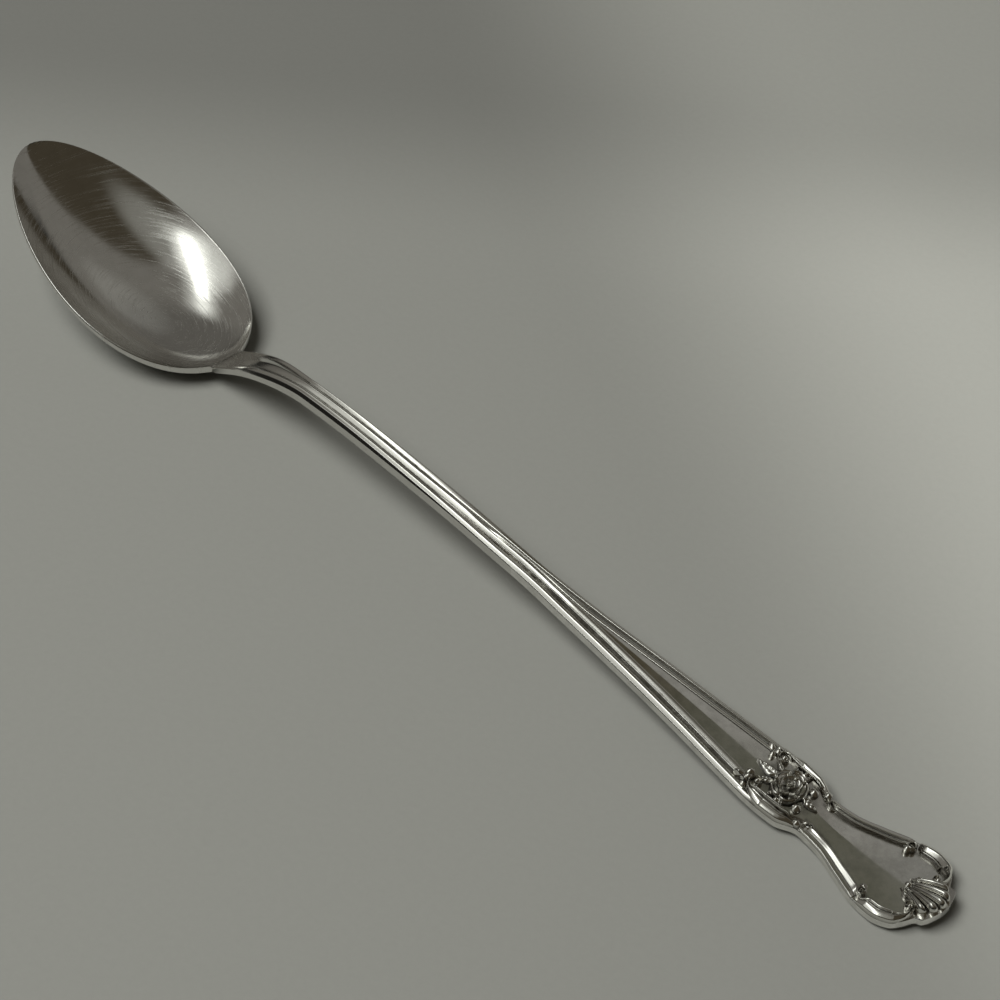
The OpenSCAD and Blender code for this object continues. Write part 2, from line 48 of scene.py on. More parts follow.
# Sizes of the part's source
BOWL_LENGTH, BOWL_WIDTH, BOWL_DEPTH = 48.5, 28.4, 6.6
BOWL_WALL, RIM_THICKNESS, TIP_RISE, BELLY_WEAR = 1.1, 0.9, 14.2, 0.12
NECK_LENGTH, STEM_LENGTH, PANEL_LENGTH = 19.5, 45.0, 46.0
SHOULDER_LENGTH, WAIST_LENGTH, END_LENGTH = 9.0, 12.0, 10.0
NECK_WIDTH, STEM_WIDTH, SHOULDER_WIDTH = 6.0, 4.1, 10.8
WAIST_WIDTH, END_WIDTH, SHELL_WIDTH = 7.6, 14.7, 7.4
NECK_EDGE, STEM_EDGE, HANDLE_EDGE = 1.2, 2.15, 1.3
STEM_CROWN, HANDLE_CROWN = 0.5, 0.05
ARCH_RISE, END_RISE, PANEL_RISE = 7.0, 1.5, 0.7
RAIL_WIDTH, RAIL_HEIGHT, GROOVE_WIDTH, COVE_WIDTH = 1.1, 0.45, 0.3, 0.5
RIB_WIDTH, RIB_HEIGHT = 1.0, 0.34

HEEL = BOWL_LENGTH
STEM = HEEL + NECK_LENGTH
PANEL = STEM + STEM_LENGTH
SHOULDER = PANEL + PANEL_LENGTH
WAIST = SHOULDER + SHOULDER_LENGTH
END = WAIST + WAIST_LENGTH
TIP = END + END_LENGTH


# Curves
def mix(a, b, share):
    return a + (b - a) * share


def ease(share):
    t = np.clip(share, 0.0, 1.0)
    return t * t * (3 - 2 * t)


def curve(points, place):
    """Smooth curve with no overshoot through points that each give a place and a value."""
    points = np.asarray(points, float)
    x, v = points[:, 0], points[:, 1]
    slope = np.diff(v) / np.diff(x)
    a, b = slope[:-1], slope[1:]
    same = a * b > 0
    inner = np.where(same, 2 * a * b / np.where(same, a + b, 1.0), 0.0)
    m = np.concatenate([slope[:1], inner, slope[-1:]])
    place = np.clip(np.asarray(place, float), x[0], x[-1])
    i = np.clip(np.searchsorted(x, place, side="right") - 1, 0, len(x) - 2)
    span = x[i + 1] - x[i]
    t = (place - x[i]) / span
    rise = v[i + 1] - v[i]
    start, stop = m[i] * span, m[i + 1] * span
    return v[i] + start * t + (3 * rise - 2 * start - stop) * t**2 + (start + stop - 2 * rise) * t**3


def softened(points, radius):
    """The same curve, sampled finely and smoothed over a radius, as a function."""
    step = 0.1
    first, last = points[0][0], points[-1][0]
    grid = np.linspace(first, last, int(round((last - first) / step)) + 1)
    values = curve(points, grid)
    reach = int(round(3 * radius / step))
    offsets = np.arange(-reach, reach + 1) * step
    kernel = np.exp(-0.5 * (offsets / radius) ** 2)
    kernel /= kernel.sum()
    before = 2 * values[0] - values[reach:0:-1]
    after = 2 * values[-1] - values[-2 : -reach - 2 : -1]
    smooth = np.convolve(np.concatenate([before, values, after]), kernel, mode="valid")
    return lambda s: np.interp(s, grid, smooth)


# Bowl: an angle of 0 is the tip and pi is the heel
EGG_SKEW = 0.075
RIM_BEND = 0.28
HOLLOW_ENDS, HOLLOW_SIDES = 1.6, 2.3
SWELL_START, SWELL_RUN = 0.5, 0.4


def bowl_share(angle):
    return (1 - np.cos(angle)) / 2


def egg(angle):
    return np.sin(angle) - EGG_SKEW * np.sin(2 * angle)


EGG_PEAK = egg(np.radians(np.arange(60, 121))).max()


def neck_swell(angle):
    return ease((bowl_share(angle) - SWELL_START) / SWELL_RUN)


def bowl_half_width(angle):
    egg_half = BOWL_WIDTH / 2 * egg(angle) / EGG_PEAK
    neck_half = NECK_WIDTH / 2 * neck_swell(angle)
    return (np.maximum(egg_half, 0) ** 4 + neck_half**4) ** 0.25


def rim_above_heel(angle):
    share = bowl_share(angle)
    return TIP_RISE * (1 - (1 + RIM_BEND) * share + RIM_BEND * share * share)


def bowl_hollow(angle):
    return BOWL_DEPTH * np.maximum(0, np.sin(angle)) ** HOLLOW_ENDS


fine_angles = np.linspace(0, math.pi, 721)
belly_low = (rim_above_heel(fine_angles) - bowl_hollow(fine_angles) - BOWL_WALL).min()
HEEL_HEIGHT = -belly_low - BELLY_WEAR
CREST_HEIGHT = HEEL_HEIGHT + ARCH_RISE
REST_HEIGHT = HANDLE_EDGE + HANDLE_CROWN
END_HEIGHT = REST_HEIGHT + END_RISE

# Handle: shares of a stretch's length, each with a share of the way between two heights or two widths
NECK_CLIMB = [(0.13, 0.22), (0.28, 0.47), (0.44, 0.68), (0.6, 0.83), (0.8, 0.94), (1, 0.99)]
STEM_FALL = [(0.13, 0), (0.6, 0.115), (1, 0.315)]
PANEL_FALL = [(0.26, 0.46), (0.59, 0.61), (0.85, 0.755), (1, 0.845)]
WAIST_FALL = [(0, 0.94), (0.83, 1)]
END_CLIMB = [(0.6, 0.3), (1, 1)]
NECK_TAPER = [(0, 0), (0.45, 0.2), (1, 1)]
PANEL_FLARE = [(0, 0), (0.26, 0.16), (0.54, 0.43), (0.75, 0.66), (0.91, 0.86)]
SHOULDER_ROUND = [(0.3, 1), (0.68, 0.96)]
WAIST_FLARE = [(0.04, 0), (0.33, 0.1), (0.67, 0.49), (1, 0.87)]
END_TAPER = [(0.35, 0), (0.6, 0.19), (0.73, 0.6), (0.81, 1)]
TIP_ROUND = [(0.88, 0.97), (0.94, 0.78), (0.975, 0.52), (1, 0.25)]
FACE_SOFTNESS, LIFT_SOFTNESS, OUTLINE_SOFTNESS = 1.2, 0.6, 0.15


def stretch(start, length, shares, low, high):
    """Places along a stretch of the spoon with values between two limits, both from shares."""
    return [(start + a * length, mix(low, high, b)) for a, b in shares]


face_height = softened(
    [(HEEL, HEEL_HEIGHT)]
    + stretch(HEEL, NECK_LENGTH, NECK_CLIMB, HEEL_HEIGHT, CREST_HEIGHT)
    + stretch(STEM, STEM_LENGTH, STEM_FALL, CREST_HEIGHT, REST_HEIGHT)
    + stretch(PANEL, PANEL_LENGTH, PANEL_FALL, CREST_HEIGHT, REST_HEIGHT)
    + stretch(WAIST, WAIST_LENGTH, WAIST_FALL, CREST_HEIGHT, REST_HEIGHT)
    + stretch(END, END_LENGTH, END_CLIMB, REST_HEIGHT, END_HEIGHT),
    FACE_SOFTNESS,
)
panel_lift = softened(
    [(HEEL, 0)]
    + stretch(STEM, STEM_LENGTH, [(0.5, 0), (0.8, 0.45)], 0, PANEL_RISE)
    + stretch(PANEL, PANEL_LENGTH, [(0.05, 1)], 0, PANEL_RISE)
    + stretch(SHOULDER, SHOULDER_LENGTH, [(0.6, 1), (1.45, 0)], 0, PANEL_RISE)
    + [(TIP, 0)],
    LIFT_SOFTNESS,
)
half_width = softened(
    stretch(HEEL, NECK_LENGTH, NECK_TAPER, NECK_WIDTH / 2, STEM_WIDTH / 2)
    + stretch(PANEL, PANEL_LENGTH, PANEL_FLARE, STEM_WIDTH / 2, SHOULDER_WIDTH / 2)
    + stretch(SHOULDER, SHOULDER_LENGTH, SHOULDER_ROUND, 0, SHOULDER_WIDTH / 2)
    + stretch(WAIST, WAIST_LENGTH, WAIST_FLARE, WAIST_WIDTH / 2, END_WIDTH / 2)
    + stretch(END, END_LENGTH, END_TAPER, END_WIDTH / 2, SHELL_WIDTH / 2)
    + stretch(END, END_LENGTH, TIP_ROUND, 0, SHELL_WIDTH / 2),
    OUTLINE_SOFTNESS,
)

SHELF_SHARE, INSET_SHARE = 0.57, 0.67
HEEL_BEVEL, STEM_BEVEL, HANDLE_BEVEL = 0.1, 0.46, 0.08
BEVEL_GROWTH, BEVEL_DECLINE = 12, 46
RIDGE_HEIGHT, RIDGE_SOFTNESS, RIDGE_RUN = 0.13, 0.12, 20
RIDGE_LEAST_HALF, RIDGE_HALF_RUN = 0.4, 1.5


def lean(s):
    rise = face_height(s + 0.5) - face_height(s - 0.5)
    return np.sqrt(1 + rise**2)


def thinning(s):
    return ease((s - STEM) / (SHOULDER - STEM))


def edge_at(s):
    grown = mix(NECK_EDGE, STEM_EDGE, ease((s - HEEL) / NECK_LENGTH))
    return lean(s) * mix(grown, HANDLE_EDGE, thinning(s))


def crown_at(s):
    return lean(s) * mix(STEM_CROWN, HANDLE_CROWN, thinning(s))


def shelf(s):
    return np.minimum(RAIL_WIDTH, SHELF_SHARE * half_width(s))


def inset(s):
    cove = mix(GROOVE_WIDTH, COVE_WIDTH, ease((s - STEM) / STEM_LENGTH))
    return np.minimum(RAIL_WIDTH + cove, INSET_SHARE * half_width(s))


def panel_edge(s):
    return half_width(s) - inset(s)


def panel_height(s):
    return face_height(s) + panel_lift(s)


def bevel(s):
    """Width of the slanting upper part of the side, widest where the neck meets the stem."""
    grown = mix(HEEL_BEVEL, STEM_BEVEL, ease((s - HEEL) / BEVEL_GROWTH))
    return mix(grown, HANDLE_BEVEL, ease((s - STEM) / BEVEL_DECLINE))


def seat(s, y):
    """Height of the handle's bare face, with its shelf at the edge and the panel's low ridge."""
    inner = half_width(s) - np.abs(y)
    step = ease((inner - shelf(s)) / (inset(s) - shelf(s)))
    panel_half = np.maximum(panel_edge(s), 0.1)
    slope = np.sqrt((y / panel_half) ** 2 + (RIDGE_SOFTNESS / panel_half) ** 2)
    ridge = RIDGE_HEIGHT * np.clip(1 - slope, 0, 1) * ease((s - PANEL) / RIDGE_RUN)
    ridge = ridge * ease((panel_half - RIDGE_LEAST_HALF) / RIDGE_HALF_RUN)
    return face_height(s) + panel_lift(s) * step + ridge


# Making meshes: a part is a list of points, a list of faces and the points' tarnish
SHARP_ANGLE = math.radians(40)
materials = {}


def finish_piece(name, part, slot_name="relief_silver", look=None, normals=None):
    """A mesh object in metres that stands for its CAD node and rides with the spoon."""
    verts, faces, tarnish = part
    points = np.array(verts, float)
    points[:, 0] -= TIP / 2
    mesh = bpy.data.meshes.new("fine_" + name)
    mesh.from_pydata((points * MM).tolist(), [], [list(map(int, f)) for f in faces])
    mesh.update()
    mesh.shade_smooth()
    if normals is None:
        mesh.set_sharp_from_angle(angle=SHARP_ANGLE)
    else:
        mesh.normals_split_custom_set(normals(mesh))
    layer = mesh.attributes.new("tarnish", "FLOAT", "POINT")
    layer.data.foreach_set("value", np.asarray(tarnish, np.float32))
    obj = bpy.data.objects.new("fine_" + name, mesh)
    bpy.context.collection.objects.link(obj)
    obj.data.materials.append(materials[look or slot_name])
    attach(obj, "root")
    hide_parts(name)


def finish_pair(name, part):
    """The right piece and its mirror image on the left."""
    finish_piece("right_" + name, part)
    finish_piece("left_" + name, mirrored(part))


def ring_faces(rings, count):
    """Quads between rings of points, each ring closed."""
    faces = []
    for i in range(rings - 1):
        a, b = i * count, (i + 1) * count
        for j in range(count):
            k = (j + 1) % count
            faces.append((a + j, a + k, b + k, b + j))
    return faces


def caps(rings, count):
    last = (rings - 1) * count
    return [tuple(range(count - 1, -1, -1)), tuple(range(last, last + count))]


def dome_faces(rings, count):
    """Faces of a closed dome: a flat foot, rings of points and one point on top."""
    last, top = (rings - 1) * count, rings * count
    fan = [(last + k, last + (k + 1) % count, top) for k in range(count)]
    return ring_faces(rings, count) + fan + [tuple(range(count - 1, -1, -1))]


def outward(verts, faces):
    """The faces, all turned round if they look into the solid."""
    points = np.asarray(verts, float)
    points = points - points.mean(axis=0)
    volume = 0.0
    for size in set(len(f) for f in faces):
        group = points[np.array([f for f in faces if len(f) == size])]
        for k in range(1, size - 1):
            volume += np.einsum("ij,ij->", group[:, 0], np.cross(group[:, k], group[:, k + 1]))
    return faces if volume > 0 else [tuple(reversed(f)) for f in faces]


def loft(rings, marks):
    """A closed part through rings of points that each have their tarnish."""
    verts = np.concatenate(rings)
    size = len(rings[0])
    faces = ring_faces(len(rings), size) + caps(len(rings), size)
    return verts, outward(verts, faces), np.concatenate(marks)


def ring_on_seat(plan, heights, sink):
    """A slice across a moulding, from side to side above the seat and then two feet sunk into it."""
    feet = plan[[-1, 0]]
    top = seat(plan[:, 0], plan[:, 1]) + heights
    low = seat(feet[:, 0], feet[:, 1]) - sink
    return np.column_stack([np.concatenate([plan, feet]), np.concatenate([top, low])])


def merge(parts):
    """Several parts as one."""
    verts, faces, marks = [], [], []
    base = 0
    for points, own_faces, own_marks in parts:
        verts.append(np.asarray(points, float))
        faces += [tuple(base + i for i in face) for face in outward(points, own_faces)]
        marks.append(np.asarray(own_marks, float))
        base += len(points)
    return np.concatenate(verts), faces, np.concatenate(marks)


def mirrored(part):
    verts, faces, marks = part
    return np.asarray(verts, float) * (1, -1, 1), [tuple(reversed(f)) for f in faces], marks


# Blank: bowl, stem and handle are slices of one surface, so that light runs on across their joints
BLANK = (
    ("bowl", "plain_silver", "bowl_silver"),
    ("stem", "plain_silver", "plain_silver"),
    ("handle", "worn_silver", "worn_silver"),
)
BOWL_SLICES, STEM_STEP, HANDLE_STEP, END_SLICES = 150, 0.4, 0.3, 70
TOP_STEPS, SIDE_STEPS, BACK_STEPS = 97, 14, 49
TOP_CROWDING, BACK_CROWDING = 1.25, 1.35
ACROSS = np.sin(np.linspace(-1, 1, TOP_STEPS) * TOP_CROWDING) / math.sin(TOP_CROWDING)
UNDER = np.sin(np.linspace(1, -1, BACK_STEPS) * BACK_CROWDING) / math.sin(BACK_CROWDING)
RIM_BULGE, BACK_ROUND = 0.28, 0.22
SLANT_DEPTH, SLANT_LIMIT, SLANT_BEND = 1.65, 0.5, 1.08
SLANT_STOP, DROP_STOP = 0.4, 0.6
BOXY_START, BOXY_RUN = 42, 6.5


def side_points(half, top, bottom, boxy, cut):
    """Points down one edge: a half-round rim, or where boxy is 1 a slant, a side and a round corner."""
    t = np.linspace(0, 1, SIDE_STEPS + 2)[1:-1]
    height = top - bottom
    angle = math.pi * t
    round_y = half - RIM_BULGE + RIM_BULGE * np.sin(angle)
    round_z = bottom + height * (1 + np.cos(angle)) / 2
    corner = BACK_ROUND * height
    slant = np.clip(t / SLANT_STOP, 0, 1)
    drop = np.clip((t - SLANT_STOP) / (DROP_STOP - SLANT_STOP), 0, 1)
    turn = np.clip((t - DROP_STOP) / (1 - DROP_STOP), 0, 1) * math.pi / 2
    depth = min(SLANT_DEPTH * cut, SLANT_LIMIT * height)
    box_y = half - cut * (1 - slant) ** SLANT_BEND - corner * (1 - np.cos(turn))
    box_z = top - depth * slant - (height - corner - depth) * drop - corner * np.sin(turn)
    return mix(round_y, box_y, boxy), mix(round_z, box_z, boxy)


def blank_ring(s, half, top_at, edge, under, boxy):
    """One slice: over the top to the right, down that edge, back underneath and up the left edge."""
    cut = float(bevel(s))
    top_y = ACROSS * (half - mix(RIM_BULGE, cut, boxy))
    under_y = UNDER * (half - mix(RIM_BULGE, BACK_ROUND * edge, boxy))
    top = top_at(top_y)
    side_y, side_z = side_points(half, top[-1], under[0], boxy, cut)
    y = np.concatenate([top_y, side_y, under_y, -side_y[::-1]])
    z = np.concatenate([top, side_z, under, side_z[::-1]])
    return np.stack([np.full(len(y), s), y, np.maximum(z, 0)], 1)


def bowl_ring(angle):
    s = BOWL_LENGTH * float(bowl_share(angle))
    half = max(float(bowl_half_width(angle)), RIM_BULGE * 1.01)
    rim = HEEL_HEIGHT + float(rim_above_heel(angle))
    hollow = float(bowl_hollow(angle))
    swell = float(neck_swell(angle))
    edge = mix(RIM_THICKNESS, float(edge_at(HEEL)), swell)
    wall = mix(BOWL_WALL, float(edge_at(HEEL) + crown_at(HEEL)), swell)
    boxy = float(ease((s - BOXY_START) / BOXY_RUN))
    inside = rim - hollow * (1 - np.abs(ACROSS) ** HOLLOW_SIDES)
    outside = rim - edge - (hollow + wall - edge) * (1 - np.abs(UNDER) ** HOLLOW_SIDES)
    return blank_ring(s, half, lambda y: inside, edge, outside, boxy)


def handle_ring(s):
    face, edge, crown = float(face_height(s)), float(edge_at(s)), float(crown_at(s))
    back = face - edge - crown * (1 - UNDER * UNDER)
    return blank_ring(s, float(half_width(s)), lambda y: seat(s, y), edge, back, 1.0)


def blank_slices():
    bowl = [bowl_ring(a) for a in np.linspace(0.02, math.pi, BOWL_SLICES)]
    stem = [handle_ring(s) for s in np.arange(HEEL + 0.25, PANEL, STEM_STEP)]
    stations = np.concatenate([np.arange(PANEL, END, HANDLE_STEP), np.linspace(END, TIP, END_SLICES)])
    handle = [handle_ring(s) for s in stations]
    return bowl, stem, handle


def blank_normals(rings):
    """Smooth normals over all slices, worked out on one mesh that is then thrown away."""
    count = len(rings[0])
    points = np.concatenate(rings)
    mesh = bpy.data.meshes.new("blank_normals")
    mesh.from_pydata(points.tolist(), [], [f[::-1] for f in ring_faces(len(rings), count)])
    mesh.update()
    normals = np.zeros(len(points) * 3)
    mesh.vertex_normals.foreach_get("vector", normals)
    bpy.data.meshes.remove(mesh)
    return normals.reshape(-1, count, 3)


def build_blank():
    bowl, stem, handle = blank_slices()
    rings = bowl + stem + handle
    smooth = blank_normals(rings)
    starts = (0, len(bowl) - 1, len(bowl) + len(stem) - 1)
    stops = (len(bowl), len(bowl) + len(stem), len(rings))
    for (name, slot_name, look), first, last in zip(BLANK, starts, stops):
        count = len(rings[first])
        points = np.concatenate(rings[first:last])
        sides = ring_faces(last - first, count)
        faces = [f[::-1] for f in sides + caps(last - first, count)]

        def normals(mesh, own=smooth[first:last].reshape(-1, 3), side_count=len(sides)):
            """Normals of the whole blank on the sides, and flat ones on the two ends."""
            out = []
            for poly in mesh.polygons:
                for v in poly.vertices:
                    out.append(tuple(own[v]) if poly.index < side_count else tuple(poly.normal))
            return out

        finish_piece(name, (points, faces, ground_tarnish(points)), slot_name, look, normals)


# Dark grounds on the blank: strengths, and the places and widths of the bands
FOOT_DARK, ROSE_DARK, RIM_DARK = 0.7, 0.4, 0.5
FOOT_SHIFT, FOOT_BAND, FOOT_GROWTH = 0.2, 0.25, 30
RIM_INSET, RIM_BAND = 1.9, 0.3
GROUND_MIDDLE, GROUND_STRETCH, GROUND_RADIUS, GROUND_FADE = 163.3, 1.25, 3.0, 1.2


def ground_tarnish(points):
    """Dark grounds: along the foot of the mouldings, round the rose and inside the end's rim."""
    s, y = points[:, 0], points[:, 1]
    safe = np.clip(s, HEEL, TIP)
    inner = half_width(safe) - np.abs(y)
    foot = np.exp(-(((inner - inset(safe) + FOOT_SHIFT) / FOOT_BAND) ** 2))
    foot = foot * ease((safe - HEEL) / FOOT_GROWTH) * (safe < WAIST)
    from_rose = np.hypot((s - GROUND_MIDDLE) / GROUND_STRETCH, y)
    rose = 1 - ease((from_rose - GROUND_RADIUS) / GROUND_FADE)
    rim = np.exp(-(((inner - RIM_INSET) / RIM_BAND) ** 2)) * (safe > WAIST)
    dark = np.clip(FOOT_DARK * foot + ROSE_DARK * rose + RIM_DARK * rim, 0, 1)
    return np.where(s > HEEL, dark, 0)


# Mouldings
CREST_ROUND, FLANK_BEND = 0.12, 1.1
STEM_RAIL, STEM_RAIL_CREST, PANEL_RIB, RIB_CREST = 0.31, 0.62, 0.25, 0.36
SPLIT = 101.0
FLAT_START, FLAT_RUN, RIB_RUN = 92, 28, 12
MOULDING_STEP, MOULDING_SINK, FOOT_INSET, RAIL_GAP = 0.5, 0.15, 0.04, 0.03
GRIME_FALL, GRIME_START, GRIME_RUN = 8, HEEL + 4, 8
# Growth of the mouldings from the heel to the panel
FADE_IN = [(0, -0.05), (0.06, 0.12), (0.15, 0.75), (0.22, 1), (1, 1)]
# Rails and ribs beside the panel: a steep inner flank, a nearly flat top and a slanting outer flank
STEEP_EDGE = [
    (0, 0), (0.07, 0.55), (0.15, 0.9), (0.26, 1), (0.45, 1),
    (0.56, 0.9), (0.76, 0.52), (0.9, 0.22), (1, 0),
]


def gable(share, crest):
    """Height shares of a worn moulding: two nearly straight flanks that meet in a rounded crest."""
    away = np.where(share < crest, (crest - share) / crest, (share - crest) / (1 - crest))
    bent = np.sqrt(away**2 + CREST_ROUND**2) - CREST_ROUND
    return 1 - (bent / (math.sqrt(1 + CREST_ROUND**2) - CREST_ROUND)) ** FLANK_BEND


def strip(stations, inner, outer, base, height, steps=29, dirty_side=2.0):
    """A moulding between two distances from the middle line, with dark feet up to a share of its width."""
    share = np.linspace(0, 1, steps)
    rings, marks = [], []
    for s in stations:
        a, b, foot = float(inner(s)), float(outer(s)), float(base(s))
        rise = height(s, share)
        y = np.concatenate([mix(a, b, share), [b - FOOT_INSET, a + FOOT_INSET]])
        z = np.concatenate([foot + rise, [foot - MOULDING_SINK] * 2])
        rings.append(np.stack([np.full(len(y), s), y, z], 1))
        grime = np.clip(1 - GRIME_FALL * rise, 0, 1) * (share < dirty_side)
        grime = grime * ease((s - GRIME_START) / GRIME_RUN)
        marks.append(np.concatenate([grime, [grime[-1], 1]]))
    return loft(rings, marks)


def fade(s):
    return curve(FADE_IN, (s - HEEL) / (PANEL - HEEL))


def flattened(s):
    return ease((s - FLAT_START) / FLAT_RUN)


def reed_rise(s, share):
    """The middle reed, which parts into the two ribs towards the panel."""
    opening = ease((s - SPLIT) / (PANEL - SPLIT))
    whole = RAIL_HEIGHT * gable(share, 0.5)
    parted = RIB_HEIGHT * gable(np.abs(2 * share - 1), RIB_CREST)
    return fade(s) * mix(whole, parted, opening)


def rail_inner(s):
    """On the stem the rails close up to the reed, and beside the panel they stand off the ribs."""
    return half_width(s) - mix(inset(s) - RAIL_GAP, shelf(s), flattened(s))


def rail_outer(s):
    return half_width(s) - bevel(s)


def rail_rise(s, share):
    low = STEM_RAIL * gable(share, STEM_RAIL_CREST)
    high = RAIL_HEIGHT * curve(STEEP_EDGE, share)
    return fade(s) * mix(low, high, flattened(s))


def rib_inner(s):
    return max(0.0, panel_edge(s) - RIB_WIDTH)


def rib_rise(s, share):
    start = RIB_HEIGHT * gable(share, RIB_CREST)
    return mix(start, PANEL_RIB * curve(STEEP_EDGE, share), ease((s - PANEL) / RIB_RUN))


def build_mouldings():
    along_stem = np.concatenate([np.arange(HEEL, PANEL, MOULDING_STEP), [PANEL]])
    along_panel = np.arange(PANEL + MOULDING_STEP, SHOULDER, MOULDING_STEP)
    reed = strip(along_stem, lambda s: -panel_edge(s), panel_edge, panel_height, reed_rise, steps=57)
    finish_piece("centre_reed", reed)

    rail_along = np.concatenate([along_stem, along_panel, [SHOULDER + 0.3]])
    finish_pair("rail", strip(rail_along, rail_inner, rail_outer, face_height, rail_rise, dirty_side=0.5))

    rib_end = SHOULDER - 1.2
    rib_along = np.concatenate([np.arange(PANEL, rib_end, MOULDING_STEP), [rib_end + 0.2]])
    finish_pair("rib", strip(rib_along, rib_inner, panel_edge, panel_height, rib_rise))


# Scrolls. Their sections run from the outer to the inner side: shares of width, height and tarnish
CHANNEL = [
    (0, 0, 0.5), (0.015, 0.38, 0.1), (0.03, 0.55, 0), (0.12, 0.72, 0), (0.21, 0.86, 0),
    (0.3, 0.96, 0), (0.36, 1, 0), (0.41, 0.98, 0), (0.49, 0.86, 0), (0.57, 0.72, 0),
    (0.64, 0.6, 0.3), (0.68, 0.54, 1), (0.72, 0.54, 1), (0.77, 0.64, 0.2), (0.82, 0.75, 0),
    (0.87, 0.78, 0), (0.92, 0.64, 0), (0.97, 0.36, 0.4), (1, 0, 0.9),
]
WAIST_ROLL = [
    (0, 0, 0.3), (0.02, 0.24, 0), (0.08, 0.36, 0), (0.2, 0.4, 0), (0.38, 0.4, 0.1),
    (0.43, 0.31, 0.9), (0.47, 0.3, 0.6), (0.58, 0.405, 0), (0.7, 0.52, 0), (0.8, 0.62, 0),
    (0.85, 0.65, 0), (0.9, 0.58, 0), (0.96, 0.34, 0.3), (1, 0, 0.9),
]
ROUND = [
    (0, 0, 0.9), (0.04, 0.45, 0.4), (0.14, 0.76, 0), (0.3, 0.95, 0), (0.5, 1, 0),
    (0.7, 0.95, 0), (0.86, 0.76, 0), (0.96, 0.45, 0.4), (1, 0, 0.9),
]
SECTION_STEPS, SCROLL_SINK = 41, 0.12
VOLUTE_WIDTH, VOLUTE_TAPER, VOLUTE_LIFT, VOLUTE_WIND = 0.42, 0.8, 1.1, 0.72
ROLL_START, ROLL_STOP, ROLL_STEP = SHOULDER - 0.3, 163.6, 0.3
ROLL_WIDTH, ROLL_NARROWING, ROLL_HEIGHT = 0.9, 0.25, 0.36

# Free ends of the scrolls in plan, and the widths and heights along each scroll
SHOULDER_CURL = [
    (160.6, 3.35), (160.95, 2.85), (160.65, 2.3), (159.95, 2.15),
    (159.35, 2.6), (159.15, 3.5), (159.6, 4.4), (160.7, 5.0),
]
SHOULDER_SPREAD = [(0, 0.36), (0.3, 0.46), (0.44, 1.5), (0.58, 2.0), (0.85, 1.8), (1, 0.9)]
SHOULDER_LIFT = [(0, 0.9), (0.3, 0.85), (0.5, 1.0), (0.9, 0.95), (1, 0.5)]
WAIST_HOOK = [(169.75, 2.7), (169.85, 2.2), (169.3, 1.85), (168.6, 2.15), (168.2, 2.9), (168.35, 3.6)]
WAIST_SPREAD = [(0, 0.3), (0.15, 0.45), (0.24, 0.9), (0.33, 1.6), (0.5, 1.7), (0.9, 1.85), (1, 1.3)]
WAIST_LIFT = [(0, 0.75), (0.15, 0.9), (0.3, 0.85), (0.94, 0.85), (1, 0.4)]
END_CURL = [
    (187.25, 4.9), (187.42, 4.0), (187.3, 3.1), (187.05, 2.5), (186.45, 2.25),
    (185.85, 2.5), (185.65, 3.1), (186.0, 3.55), (186.45, 3.45),
]
END_SPREAD = [(0, 1.0), (0.08, 1.9), (0.4, 2.0), (0.5, 1.5), (0.58, 0.75), (0.66, 0.5), (1, 0.36)]
END_LIFT = [(0, 0.5), (0.1, 0.95), (0.6, 0.95), (0.7, 1.0), (1, 1.1)]

# Beads in the curls by place and radius, and buds by place and turn
BEADS = [(160.2, 2.9, 0.4), (167.75, 3.4, 0.52), (180.2, 4.65, 0.5), (186.4, 3.05, 0.4)]
BUDS = [(158.55, 2.3, -0.9), (158.85, 3.15, -0.3), (158.75, 4.0, 0.4)]
BUD_RADIUS, BUD_HEIGHT, BEAD_HEIGHT = 0.42, 0.85, 1.0
BEAD_LEVELS, BEAD_SIDES = 10, 24
BEAD_SINK, BEAD_DROP, BEAD_ROUND = 0.1, 0.73, 0.36


def bead(s, y, radius, height, long=1.0, turn=0.0):
    """A round or long bead with an upright foot and a low rounded cone on top."""
    verts, marks = [], []
    for i in range(BEAD_LEVELS):
        out = min(1.0, 1.0 - (i - 1) / (BEAD_LEVELS - 1))
        bent = (math.hypot(out, BEAD_ROUND) - BEAD_ROUND) / (math.hypot(1, BEAD_ROUND) - BEAD_ROUND)
        rise = -BEAD_SINK if i == 0 else height - BEAD_DROP * radius * bent
        for k in range(BEAD_SIDES):
            a = 2 * math.pi * k / BEAD_SIDES
            u, v = radius * long * out * math.cos(a), radius * out * math.sin(a)
            ps = s + u * math.cos(turn) - v * math.sin(turn)
            py = y + u * math.sin(turn) + v * math.cos(turn)
            verts.append((ps, py, float(seat(ps, py)) + rise))
            marks.append(1.0 if i == 0 else 0.0)
    verts.append((s, y, float(seat(s, y)) + height))
    marks.append(0.0)
    return np.array(verts), dome_faces(BEAD_LEVELS, BEAD_SIDES), np.array(marks)


def smooth_path(points, count):
    """A rounded path through given points, evenly spaced."""
    p = np.asarray(points, float)
    p = np.vstack([2 * p[0] - p[1], p, 2 * p[-1] - p[-2]])
    t = np.linspace(0, 1, 24, endpoint=False)[:, None]
    out = []
    for a, b, c, d in zip(p, p[1:], p[2:], p[3:]):
        bend = 2 * a - 5 * b + 4 * c - d
        twist = 3 * b - a - 3 * c + d
        out.append(0.5 * (2 * b + (c - a) * t + bend * t**2 + twist * t**3))
    out = np.vstack(out + [p[-2:-1]])
    reach = np.concatenate([[0], np.cumsum(np.hypot(*np.diff(out, axis=0).T))])
    even = np.linspace(0, reach[-1], count)
    return np.stack([np.interp(even, reach, out[:, 0]), np.interp(even, reach, out[:, 1])], 1)


